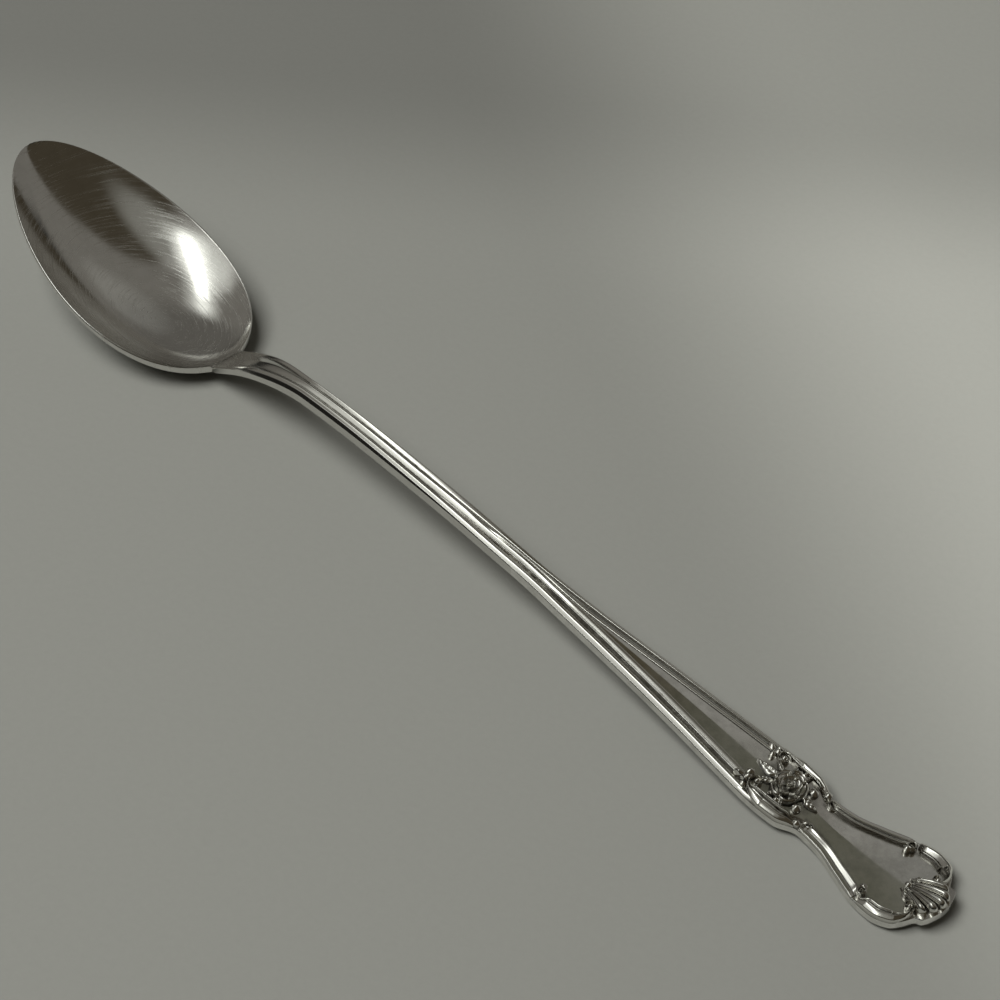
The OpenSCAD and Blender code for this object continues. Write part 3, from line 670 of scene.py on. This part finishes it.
def sweep(path, width, height, section, count, side=-1.0):
    """A moulding along a path in plan, on one side of the way it runs, with its foot on the seat."""
    path = smooth_path(path, count)
    ahead = np.gradient(path, axis=0)
    ahead /= np.hypot(ahead[:, 0], ahead[:, 1])[:, None]
    inward = np.stack([-ahead[:, 1], ahead[:, 0]], 1) * side
    share = np.linspace(0, 1, count)
    columns = np.asarray(section, float)
    order = np.linspace(0, 1, len(columns))
    fine = np.linspace(0, 1, SECTION_STEPS)
    out, rise, dark = (curve(np.stack([order, c], 1), fine) for c in columns.T)
    rings = []
    for p, n, w, h in zip(path, inward, curve(width, share), curve(height, share)):
        rings.append(ring_on_seat(p + n * (w * out)[:, None], h * rise, SCROLL_SINK))
    return loft(rings, [np.concatenate([dark, [1, 1]])] * count)


def edge_path(first, last, step=0.5):
    stations = np.linspace(first, last, max(3, int(round((last - first) / step)) + 1))
    return [(s, float(half_width(s))) for s in stations]


def volute(centre, start, turns, radius, height):
    """A roll that winds in a little round an open hollow."""
    shares = np.linspace(0, 1, 10 + int(10 * turns))
    angles = math.radians(start) + turns * 2 * math.pi * shares
    reach = radius * mix(1.0, VOLUTE_WIND, shares)
    path = np.stack([centre[0] + reach * np.cos(angles), centre[1] + reach * np.sin(angles)], 1)
    widths = [(0, VOLUTE_WIDTH), (1, VOLUTE_TAPER * VOLUTE_WIDTH)]
    return sweep(path, widths, [(0, height), (1, VOLUTE_LIFT * height)], ROUND, 70, side=1.0)


def shoulder_scroll():
    """A scroll along the shoulder's edge that curls in beside the rose, and a low roll ahead of it."""
    path = SHOULDER_CURL + edge_path(162.2, 167.7)
    scroll = sweep(path, SHOULDER_SPREAD, SHOULDER_LIFT, CHANNEL, 120)
    roll = strip(
        np.arange(ROLL_START, ROLL_STOP, ROLL_STEP),
        lambda s: half_width(s) - ROLL_WIDTH + ROLL_NARROWING * ease((s - 160) / 3),
        half_width,
        face_height,
        lambda s, share: ROLL_HEIGHT * gable(share, 0.5),
    )
    return merge([scroll, roll])


def waist_scroll():
    path = WAIST_HOOK + edge_path(169.1, 180.0)
    return sweep(path, WAIST_SPREAD, WAIST_LIFT, WAIST_ROLL, 130)


def end_scroll():
    """A scroll round the end's corner that curls in beside the shell, with a small roll at its start."""
    path = edge_path(180.9, 186.6, 0.4) + END_CURL
    scroll = sweep(path, END_SPREAD, END_LIFT, CHANNEL, 140)
    return merge([scroll, volute((180.5, 5.4), start=60, turns=1.0, radius=0.85, height=0.9)])


def build_scrolls():
    finish_pair("shoulder_scroll", shoulder_scroll())
    finish_pair("waist_scroll", waist_scroll())
    finish_pair("end_scroll", end_scroll())
    beads = [bead(s, y * hand, radius, BEAD_HEIGHT) for s, y, radius in BEADS for hand in (1, -1)]
    finish_piece("scroll_beads", merge(beads))

    buds = []
    for hand in (1, -1):
        buds.append(bead(157.5, 3.45 * hand, BUD_RADIUS, height=0.6, long=1.9, turn=-0.5 * hand))
        for s, y, turn in BUDS:
            buds.append(bead(s, y * hand, BUD_RADIUS, BUD_HEIGHT, long=1.35, turn=turn * hand))
    finish_piece("rib_buds", merge(buds))


# Rose
ROSE_S = 163.6
ROSE_LENGTH, ROSE_BREADTH = 0.94, 1.1
PETALS, PETAL_ROWS, PETAL_STEPS = 5, 22, 29
PETAL_CORNER, PETAL_CORNER_BEND, PETAL_TILT, PETAL_CUP_BEND = 0.17, 2.5, 0.1, 1.4
PETAL_RIM, PETAL_RIM_PLACE, PETAL_RIM_WIDTH = 0.3, 0.8, 0.09
PETAL_EDGE, PETAL_EDGE_RUN, PETAL_SINK = 0.45, 0.1, 0.1
HEART_RADIUS, HEART_RINGS, HEART_SIDES, HEART_SINK = 0.78, 32, 84, 0.12
HEART_HEIGHT, HEART_FALL, HEART_GROOVE, HEART_TWIST = 1.25, 0.3, 0.36, 11
HEART_DARK = 2.4
LEAF_ROWS, LEAF_STEPS, LEAF_SINK = 34, 21, 0.1
LEAF_OUTLINE = [(0, 0.35), (0.3, 1), (0.65, 0.72), (1, 0.04)]
LEAF_DOME, LEAF_FALL, LEAF_EDGE = 0.55, 0.2, 0.08
VEIN_DEPTH, VEIN_WIDTH = 0.24, 0.16
SIDE_VEIN_HEIGHT, SIDE_VEIN_RATE, SIDE_VEIN_SLANT = 0.07, 26, 0.25


def petal(direction, spread, near, far, lift, rise):
    """One cupped petal of the rose with a rolled rim, one side of it lying over its neighbour."""
    u = np.linspace(1, -1, PETAL_STEPS)
    turn = direction + spread * u
    rings, marks = [], []
    for t in np.linspace(0, 1, PETAL_ROWS):
        reach = mix(near, far * (1 - PETAL_CORNER * np.abs(u) ** PETAL_CORNER_BEND), t)
        s = ROSE_S + ROSE_LENGTH * reach * np.cos(turn)
        y = ROSE_BREADTH * reach * np.sin(turn)
        edge = np.maximum(t, np.abs(u))
        cup = lift + PETAL_TILT * u + rise * t**PETAL_CUP_BEND
        rim = PETAL_RIM * np.exp(-(((edge - PETAL_RIM_PLACE) / PETAL_RIM_WIDTH) ** 2))
        heights = (cup + rim) * mix(PETAL_EDGE, 1.0, ease((1 - edge) / PETAL_EDGE_RUN))
        rings.append(ring_on_seat(np.stack([s, y], 1), heights, PETAL_SINK))
        dark = np.maximum(ease((edge - 0.9) / 0.08), 0.65 * ease((0.5 - t) / 0.2))
        marks.append(np.concatenate([dark, [1, 1]]))
    return loft(rings, marks)


def heart_height(rho, turn):
    """A low dome with a spiral groove, at shares of the heart's radius."""
    spiral = 0.5 + 0.5 * np.cos(turn + rho * HEART_TWIST)
    dome = (HEART_HEIGHT - HEART_FALL * rho**2) * ease((1 - rho) / 0.12)
    return dome - HEART_GROOVE * spiral * ease((1 - rho) / 0.2) * ease(rho / 0.25)


def rose_heart():
    turn = np.linspace(0, 2 * math.pi, HEART_SIDES, endpoint=False)
    verts, heights = [], [np.full(HEART_SIDES, -HEART_SINK)]
    for rho in np.linspace(1, 0, HEART_RINGS, endpoint=False):
        s = ROSE_S + HEART_RADIUS * rho * np.cos(turn)
        y = HEART_RADIUS * rho * np.sin(turn)
        heights.append(heart_height(rho, turn))
        verts.append(np.stack([s, y, seat(s, y) + heights[-1]], 1))
    foot = verts[0].copy()
    foot[:, 2] = seat(foot[:, 0], foot[:, 1]) - HEART_SINK
    middle = [[ROSE_S, 0, float(seat(ROSE_S, 0)) + heart_height(0.0, turn).mean()]]
    heights.append([heights[-1].mean()])
    points = np.concatenate([foot] + verts + [middle])
    faces = outward(points, dome_faces(HEART_RINGS + 1, HEART_SIDES))
    return points, faces, np.clip(HEART_DARK - HEART_DARK * np.concatenate(heights), 0, 1)


def leaf(base, direction, length, width):
    """A pointed leaf with a domed blade, a sunk middle vein and slanting side veins."""
    ahead = np.array([math.cos(direction), math.sin(direction)])
    left = np.array([-ahead[1], ahead[0]])
    u = np.linspace(1, -1, LEAF_STEPS)
    out = np.abs(u)
    rings, marks = [], []
    for t in np.linspace(0, 1, LEAF_ROWS):
        half = width / 2 * float(curve(LEAF_OUTLINE, t))
        plan = np.asarray(base) + ahead * (length * t) + left * (half * u)[:, None]
        dome = (1 - out**3) * (LEAF_DOME - LEAF_FALL * t) + LEAF_EDGE
        vein = VEIN_DEPTH * np.exp(-((u / VEIN_WIDTH) ** 2))
        side_vein = SIDE_VEIN_HEIGHT * np.sin(SIDE_VEIN_RATE * (t - SIDE_VEIN_SLANT * out))
        side_vein = side_vein * (1 - out) * ease(out / 0.25)
        heights = np.maximum(dome - vein + side_vein, 0.02)
        rings.append(ring_on_seat(plan, heights, LEAF_SINK))
        marks.append(np.concatenate([np.clip(1.0 - 2.0 * heights, 0, 1), [1, 1]]))
    return loft(rings, marks)


def build_rose():
    petals = []
    for k in range(PETALS):
        outer, inner = math.radians(20 + 72 * k), math.radians(56 + 72 * k)
        petals.append(petal(outer, spread=0.7, near=0.9, far=2.8, lift=0.25, rise=0.4))
        petals.append(petal(inner, spread=0.68, near=0.7, far=1.75, lift=0.5, rise=0.5))
    finish_piece("rose_petals", merge(petals), look="rose_silver")
    finish_piece("rose_heart", rose_heart())

    leaves = [
        leaf((ROSE_S - 2.2, 0.0), math.pi, length=3.6, width=1.9),
        leaf((ROSE_S + 2.35, 0.0), 0.0, length=2.6, width=1.5),
    ]
    for hand in (1, -1):
        leaves.append(leaf((ROSE_S - 2.1, 1.1 * hand), math.pi - 0.55 * hand, length=2.1, width=1.15))
        leaves.append(leaf((ROSE_S + 0.6, 2.4 * hand), 1.25 * hand, length=1.3, width=0.9))
        leaves.append(leaf((ROSE_S - 0.9, 2.35 * hand), 2.0 * hand, length=1.2, width=0.8))
    finish_piece("rose_leaves", merge(leaves), look="rose_silver")

    berries = []
    for hand in (1, -1):
        berries.append(bead(166.4, 1.9 * hand, radius=0.62, height=0.95))
        berries.append(bead(163.7, 3.05 * hand, radius=0.4, height=0.65))
    finish_piece("rose_berries", merge(berries))


# Shell
SHELL_HUB = 181.5
SHELL_HALF_ANGLE, SHELL_FLUTES, SHELL_SLICES = math.radians(28), 5, 181
SHELL_SINK, SHELL_TIP_GAP, SHELL_CORNER = 0.15, 0.1, 1.5
FLUTE_WIDTH, FLUTE_VALLEY, SCALLOP = 0.84, 0.3, 0.04
SHELL_SWELL = [
    (0.34, 0.5), (0.42, 0.9), (0.55, 1.25), (0.72, 1.45),
    (0.86, 1.4), (0.94, 1.1), (0.985, 0.5), (1, 0),
]


def shell_fan():
    """A fan of five round flutes that swells from its hub and drops at its scalloped edge."""
    shares = np.concatenate([np.linspace(0.34, 0.92, 34), np.linspace(0.93, 1.0, 12)])
    swell = curve(SHELL_SWELL, shares)
    feet = [-1, 0]
    rings, marks = [], []
    for a in np.linspace(-SHELL_HALF_ANGLE, SHELL_HALF_ANGLE, SHELL_SLICES):
        out = a / SHELL_HALF_ANGLE
        across = 2 * ((SHELL_FLUTES * (out + 1) / 2) % 1.0) - 1
        flute = math.sqrt(max(0.0, 1 - (across / FLUTE_WIDTH) ** 2))
        scalloped = 1 - SCALLOP + SCALLOP * flute
        reach = (TIP - SHELL_TIP_GAP - SHELL_HUB) * scalloped - SHELL_CORNER * out**2
        s = SHELL_HUB + reach * shares * math.cos(a)
        y = reach * shares * math.sin(a)
        base = face_height(np.clip(s, HEEL, TIP))
        z = np.append(base + swell * mix(FLUTE_VALLEY, 1.0, flute), base[feet] - SHELL_SINK)
        rings.append(np.column_stack([np.append(s, s[feet]), np.append(y, y[feet]), z]))
        dark = np.clip(1.2 - 2.2 * flute, 0, 1)
        marks.append(np.append(np.full(len(s), dark), [1, 1]))
    return loft(rings, marks)


def build_shell():
    curl = volute((184.75, 1.35), start=20, turns=0.9, radius=0.7, height=0.75)
    hub = bead(184.0, 0.0, radius=0.45, height=0.7)
    finish_piece("shell_tip", merge([shell_fan(), curl, mirrored(curl), hub]))


# Nodes of materials and of the world
def node(tree, kind, **values):
    made = tree.nodes.new(kind)
    for key, value in values.items():
        if hasattr(made, key):
            setattr(made, key, value)
        else:
            made.inputs[key].default_value = value
    return made


def calc(tree, operation, *values, clamp=False):
    """One step of arithmetic on sockets and plain numbers."""
    made = node(tree, "ShaderNodeMath", operation=operation, use_clamp=clamp)
    for socket, value in zip(made.inputs, values):
        if isinstance(value, (int, float)):
            socket.default_value = value
        else:
            tree.links.new(value, socket)
    return made.outputs["Value"]


def remap(tree, value, low, high, first, last, smooth=False):
    """A value carried from one range to another and held at both ends."""
    made = node(tree, "ShaderNodeMapRange", interpolation_type="SMOOTHSTEP" if smooth else "LINEAR")
    for name, number in (("From Min", low), ("From Max", high), ("To Min", first), ("To Max", last)):
        made.inputs[name].default_value = number
    tree.links.new(value, made.inputs["Value"])
    return made.outputs["Result"]


def along(tree, place, axis):
    """How far a place lies along an axis."""
    made = node(tree, "ShaderNodeVectorMath", operation="DOT_PRODUCT")
    made.inputs[1].default_value = axis
    tree.links.new(place, made.inputs[0])
    return made.outputs["Value"]


def mapped(tree, place, **values):
    made = node(tree, "ShaderNodeMapping", **values)
    tree.links.new(place, made.inputs["Vector"])
    return made.outputs["Vector"]


def noise(tree, place, scale, detail, roughness):
    made = node(tree, "ShaderNodeTexNoise", Scale=scale, Detail=detail, Roughness=roughness)
    tree.links.new(place, made.inputs["Vector"])
    return made.outputs["Fac"]


def blend(tree, factor, first, second):
    """A colour between two colours."""
    made = node(tree, "ShaderNodeMix", data_type="RGBA")
    made.inputs["A"].default_value = (*first, 1)
    made.inputs["B"].default_value = (*second, 1)
    tree.links.new(factor, made.inputs["Factor"])
    return made.outputs["Result"]


def bump(tree, height, strength, normal=None):
    made = node(tree, "ShaderNodeBump", Strength=strength, Distance=SCRATCH_DEPTH)
    tree.links.new(height, made.inputs["Height"])
    if normal is not None:
        tree.links.new(normal, made.inputs["Normal"])
    return made.outputs["Normal"]


def new_material(name):
    """A material by its name, as its node tree, its shader and the place on the object."""
    material = bpy.data.materials.new(name)
    material.use_nodes = True
    materials[name] = material
    tree = material.node_tree
    place = node(tree, "ShaderNodeTexCoord").outputs["Object"]
    return tree, tree.nodes["Principled BSDF"], place


# Materials
BOWL_MIDDLE = (0.062, 0, 0)
TARNISH_ROUGHNESS, SWIRL_ROUGHNESS = 0.3, 0.3
SCRATCH_DEPTH = 0.00001
GROUND_GREY, GROUND_FLECK = (0.25, 0.252, 0.235), (0.275, 0.277, 0.258)
CARD_BROWN, CARD_GREY = (0.2, 0.17, 0.12), (0.29, 0.285, 0.245)


def swirled_noise(tree, place):
    """Noise drawn out into rings round the deepest place of the bowl, as polishing leaves it."""
    link = tree.links.new
    shifted = mapped(tree, place, Location=BOWL_MIDDLE, Scale=(1, 1.5, 0))
    reach = node(tree, "ShaderNodeVectorMath", operation="LENGTH")
    link(shifted, reach.inputs[0])
    parts = node(tree, "ShaderNodeSeparateXYZ")
    link(shifted, parts.inputs["Vector"])
    polar = node(tree, "ShaderNodeCombineXYZ")
    link(reach.outputs["Value"], polar.inputs["X"])
    link(calc(tree, "ARCTAN2", parts.outputs["Y"], parts.outputs["X"]), polar.inputs["Y"])
    drawn = mapped(tree, polar.outputs["Vector"], Scale=(3600, 1.6, 1))
    return noise(tree, drawn, scale=1.0, detail=4.0, roughness=0.65)


def silver(name, colour, dark, rough, scratch, swirl=0.0, mottle=0.0):
    """Plated silver with fine scratches, soft wear, faint stains and dark tarnish in the recesses."""
    tree, shader, place = new_material(name)
    shader.inputs["Metallic"].default_value = 1.0

    mark = node(tree, "ShaderNodeAttribute", attribute_name="tarnish").outputs["Fac"]
    cloud = noise(tree, place, scale=900.0, detail=4.0, roughness=0.6)
    tarnish = calc(tree, "MULTIPLY", mark, remap(tree, cloud, 0.3, 0.7, 0.55, 1.1), clamp=True)
    spots = noise(tree, place, scale=430.0, detail=6.0, roughness=0.7)
    dirt = calc(tree, "ADD", tarnish, remap(tree, spots, 0.42, 0.72, 0.0, mottle), clamp=True)

    wear = noise(tree, place, scale=140.0, detail=3.0, roughness=0.5)
    worn = remap(tree, wear, 0.3, 0.75, rough * 0.7, rough * 1.6)
    roughness = calc(tree, "MULTIPLY_ADD", tarnish, TARNISH_ROUGHNESS, worn)
    drawn = mapped(tree, place, Scale=(220, 5200, 5200), Rotation=(0, 0, 0.35))
    hairs = noise(tree, drawn, scale=1.0, detail=3.0, roughness=0.7)
    normal = bump(tree, hairs, scratch)
    if swirl:
        rings = swirled_noise(tree, place)
        normal = bump(tree, rings, swirl, normal)
        roughness = calc(tree, "ADD", roughness, remap(tree, rings, 0.48, 0.72, 0.0, SWIRL_ROUGHNESS))

    tree.links.new(blend(tree, dirt, colour, dark), shader.inputs["Base Color"])
    tree.links.new(roughness, shader.inputs["Roughness"])
    tree.links.new(normal, shader.inputs["Normal"])


def ground():
    """Grey with fine flecks, with painted light that makes it paler towards one far corner and painted
    shade that darkens it along the far side.
    """
    tree, shader, place = new_material("ground")
    shader.inputs["Roughness"].default_value = 0.85
    grain = noise(tree, place, scale=900.0, detail=4.0, roughness=0.7)
    flecks = blend(tree, grain, GROUND_GREY, GROUND_FLECK)
    # Painted light and shade: the floor is paler towards one far corner and darker along the far side, as
    # a lamp's falloff would make it
    painted_light = remap(tree, along(tree, place, (0.53, 0.92, 0)), 0.034, 0.108, 1.08, 2.0, smooth=True)
    painted_shade = remap(tree, along(tree, place, (-0.65, 0.76, 0)), 0.066, 0.118, 1.0, 0.68, smooth=True)
    tone = node(tree, "ShaderNodeVectorMath", operation="SCALE")
    tree.links.new(flecks, tone.inputs[0])
    tree.links.new(calc(tree, "MULTIPLY", painted_light, painted_shade), tone.inputs["Scale"])
    tree.links.new(tone.outputs["Vector"], shader.inputs["Base Color"])


def card():
    """Dark brown that turns grey towards the handle's end."""
    tree, shader, place = new_material("card")
    shader.inputs["Roughness"].default_value = 0.9
    greyer = remap(tree, along(tree, place, (1, 0, 0)), 0.028, 0.046, 0.0, 1.0, smooth=True)
    tree.links.new(blend(tree, greyer, CARD_BROWN, CARD_GREY), shader.inputs["Base Color"])


def build_materials():
    plain, stain = (0.79, 0.78, 0.75), (0.16, 0.14, 0.11)
    silver("bowl_silver", plain, stain, rough=0.1, scratch=0.03, swirl=0.35, mottle=0.12)
    silver("plain_silver", plain, stain, rough=0.09, scratch=0.03, mottle=0.12)
    silver("rose_silver", (0.9, 0.89, 0.85), (0.04, 0.035, 0.025), rough=0.16, scratch=0.0)
    silver("worn_silver", (0.93, 0.92, 0.89), (0.10, 0.09, 0.07), rough=0.14, scratch=0.03, mottle=0.3)
    silver("relief_silver", (0.80, 0.79, 0.75), (0.06, 0.05, 0.035), rough=0.12, scratch=0.0)
    ground()
    card()


# Stage, in metres
FLOOR_REACH, FLOOR_DROP = 1.5, 0.00002
CARD_HEIGHT = 0.054
FLOOR_OUTLINE = [
    (-FLOOR_REACH, -FLOOR_REACH), (FLOOR_REACH, -FLOOR_REACH),
    (FLOOR_REACH, FLOOR_REACH), (-FLOOR_REACH, FLOOR_REACH),
]
CARD_OUTLINE = [
    (-0.012, 0.0325), (0.03, 0.0335), (0.055, 0.0385),
    (0.078, 0.0405), (0.078, 0.012), (-0.012, 0.012),
]


def flat_sheet(name, outline, height, material):
    """A flat sheet of the stage over an outline in plan."""
    mesh = bpy.data.meshes.new(name)
    mesh.from_pydata([(x, y, 0) for x, y in outline], [], [tuple(range(len(outline)))])
    mesh.materials.append(materials[material])
    sheet = bpy.data.objects.new(name, mesh)
    sheet.location.z = height
    bpy.context.collection.objects.link(sheet)
    return sheet


def build_stage():
    """The floor, and a dark card over the far side of the handle that only reflections show."""
    flat_sheet("floor", FLOOR_OUTLINE, -FLOOR_DROP, "ground")
    shade = flat_sheet("card", CARD_OUTLINE, CARD_HEIGHT, "card")
    shade.visible_camera = False
    shade.visible_diffuse = False
    shade.visible_shadow = False
    shade.visible_transmission = False


# Light. A heading is an azimuth and an elevation in degrees
UP = (0, 0, 1)
WINDOW_LOW, WINDOW_MIDDLE, WINDOW_HIGH = (-102, 44), (-124, 55), (-160, 58)
WINDOW_COLOUR = (0.97, 1.0, 0.95, 1)
FAR_GREY, NEAR_BROWN = (0.16, 0.153, 0.137), (0.05, 0.042, 0.029)
LAMP_HEADING, LAMP_DISTANCE, LAMP_POWER = (-122, 62), 1.1, 10.4
LAMP_SIZE = (0.75, 0.6)
LAMP_COLOUR = (1.0, 1.0, 0.97)


def heading(azimuth, elevation):
    a, e = math.radians(azimuth), math.radians(elevation)
    return Vector((math.cos(e) * math.cos(a), math.cos(e) * math.sin(a), math.sin(e)))


def build_world():
    """A dim brown room with a grey far side, a lit far end and a soft window, and a grey backdrop."""
    world = bpy.data.worlds.new("room")
    bpy.context.scene.world = world
    world.use_nodes = True
    tree = world.node_tree
    link = tree.links.new
    place = node(tree, "ShaderNodeTexCoord").outputs["Generated"]

    def towards(axis, low, high, first, last):
        return remap(tree, along(tree, place, axis), low, high, first, last, smooth=True)

    def chain(operation, first, *others):
        for other in others:
            first = calc(tree, operation, first, other)
        return first

    room = tree.nodes["Background"]
    near = towards(heading(-20, 35), 0.5, 0.57, 0, 1)
    link(blend(tree, near, FAR_GREY, NEAR_BROWN), room.inputs["Color"])
    lit_end = towards(heading(66, 5), 0.83, 0.93, 0, 0.95)
    horizon = calc(tree, "MAXIMUM", towards(UP, 0.2, 0.42, 0.08, 1), lit_end)
    dim_side = towards(heading(148, 36), 0.82, 0.96, 1, 0.68)
    link(chain("MULTIPLY", horizon, dim_side), room.inputs["Strength"])

    middle = heading(*WINDOW_MIDDLE)
    tangent = (heading(*WINDOW_HIGH) - heading(*WINDOW_LOW)).normalized()
    aside = calc(tree, "ABSOLUTE", along(tree, place, middle.cross(tangent)))
    front = towards(middle, 0.0, 0.3, 0, 1)
    start, stop = towards(tangent, -0.36, -0.25, 0, 1), towards(tangent, 0.42, 0.58, 1, 0)
    bright = towards(tangent, 0.24, 0.36, 1, 0.25)
    narrow = remap(tree, aside, 0.02, 0.09, 2.0, 0, smooth=True)
    core = chain("MULTIPLY", start, stop, front, bright, narrow)
    start, stop = towards(tangent, -0.42, -0.26, 0, 1), towards(tangent, 0.44, 0.6, 1, 0)
    broad = remap(tree, aside, 0.03, 0.22, 0.55, 0, smooth=True)
    halo = chain("MULTIPLY", start, stop, front, broad)
    blob = towards(heading(-123, 46), 0.94, 0.995, 0, 0.5)
    wide = towards(heading(-94, 56), 0.9, 0.99, 0, 0.17)
    raised = chain("MULTIPLY", wide, towards(UP, 0.62, 0.74, 0, 1))
    far_side = towards(heading(115, 46), 0.95, 0.99, 0, 0.07)
    window = node(tree, "ShaderNodeBackground", Color=WINDOW_COLOUR)
    link(chain("ADD", core, halo, blob, raised, far_side), window.inputs["Strength"])

    both = node(tree, "ShaderNodeAddShader")
    link(room.outputs["Background"], both.inputs[0])
    link(window.outputs["Background"], both.inputs[1])
    backdrop = node(tree, "ShaderNodeBackground", Color=(*GROUND_GREY, 1))
    seen = node(tree, "ShaderNodeMixShader")
    link(node(tree, "ShaderNodeLightPath").outputs["Is Camera Ray"], seen.inputs[0])
    link(both.outputs["Shader"], seen.inputs[1])
    link(backdrop.outputs["Background"], seen.inputs[2])
    link(seen.outputs["Shader"], tree.nodes["World Output"].inputs["Surface"])


def build_lamp():
    """One soft lamp that lights the floor and casts the shadow, and that reflections don't show."""
    data = bpy.data.lights.new("fill", "AREA")
    data.shape = "RECTANGLE"
    data.size, data.size_y = LAMP_SIZE
    data.energy = LAMP_POWER
    data.color = LAMP_COLOUR
    lamp = bpy.data.objects.new("fill", data)
    bpy.context.collection.objects.link(lamp)
    place = heading(*LAMP_HEADING) * LAMP_DISTANCE
    lamp.location = place
    lamp.rotation_euler = (-place).to_track_quat("-Z", "Y").to_euler()
    lamp.visible_glossy = False


# Camera, at the photograph's angle
AZIMUTH, ELEVATION, ROLL = (math.radians(v) for v in (40.86, 43.81, 5.62))
DISTANCE = 354.6
TARGET = np.array([5.17, 8.58, 5.0])
SENSOR, LENS = 36.0, 86.4


def build_camera():
    """A camera turned about the upright axis, raised, and rolled a little."""
    flat = math.cos(ELEVATION)
    back = np.array([math.sin(AZIMUTH) * flat, -math.cos(AZIMUTH) * flat, math.sin(ELEVATION)])
    level = np.array([math.cos(AZIMUTH), math.sin(AZIMUTH), 0])
    upright = np.cross(back, level)
    right = level * math.cos(ROLL) + upright * math.sin(ROLL)
    up = upright * math.cos(ROLL) - level * math.sin(ROLL)
    data = bpy.data.cameras.new("camera")
    data.sensor_width, data.lens = SENSOR, LENS
    data.clip_start = 0.01
    camera = bpy.data.objects.new("camera", data)
    bpy.context.collection.objects.link(camera)
    place = (TARGET + back * DISTANCE) * MM
    camera.matrix_world = Matrix((
        (right[0], up[0], back[0], place[0]),
        (right[1], up[1], back[1], place[1]),
        (right[2], up[2], back[2], place[2]),
        (0, 0, 0, 1),
    ))
    bpy.context.scene.camera = camera


bpy.context.scene.view_settings.view_transform = "Standard"
build_materials()
build_blank()
build_mouldings()
build_scrolls()
build_rose()
build_shell()
build_stage()
build_world()
build_lamp()
build_camera()
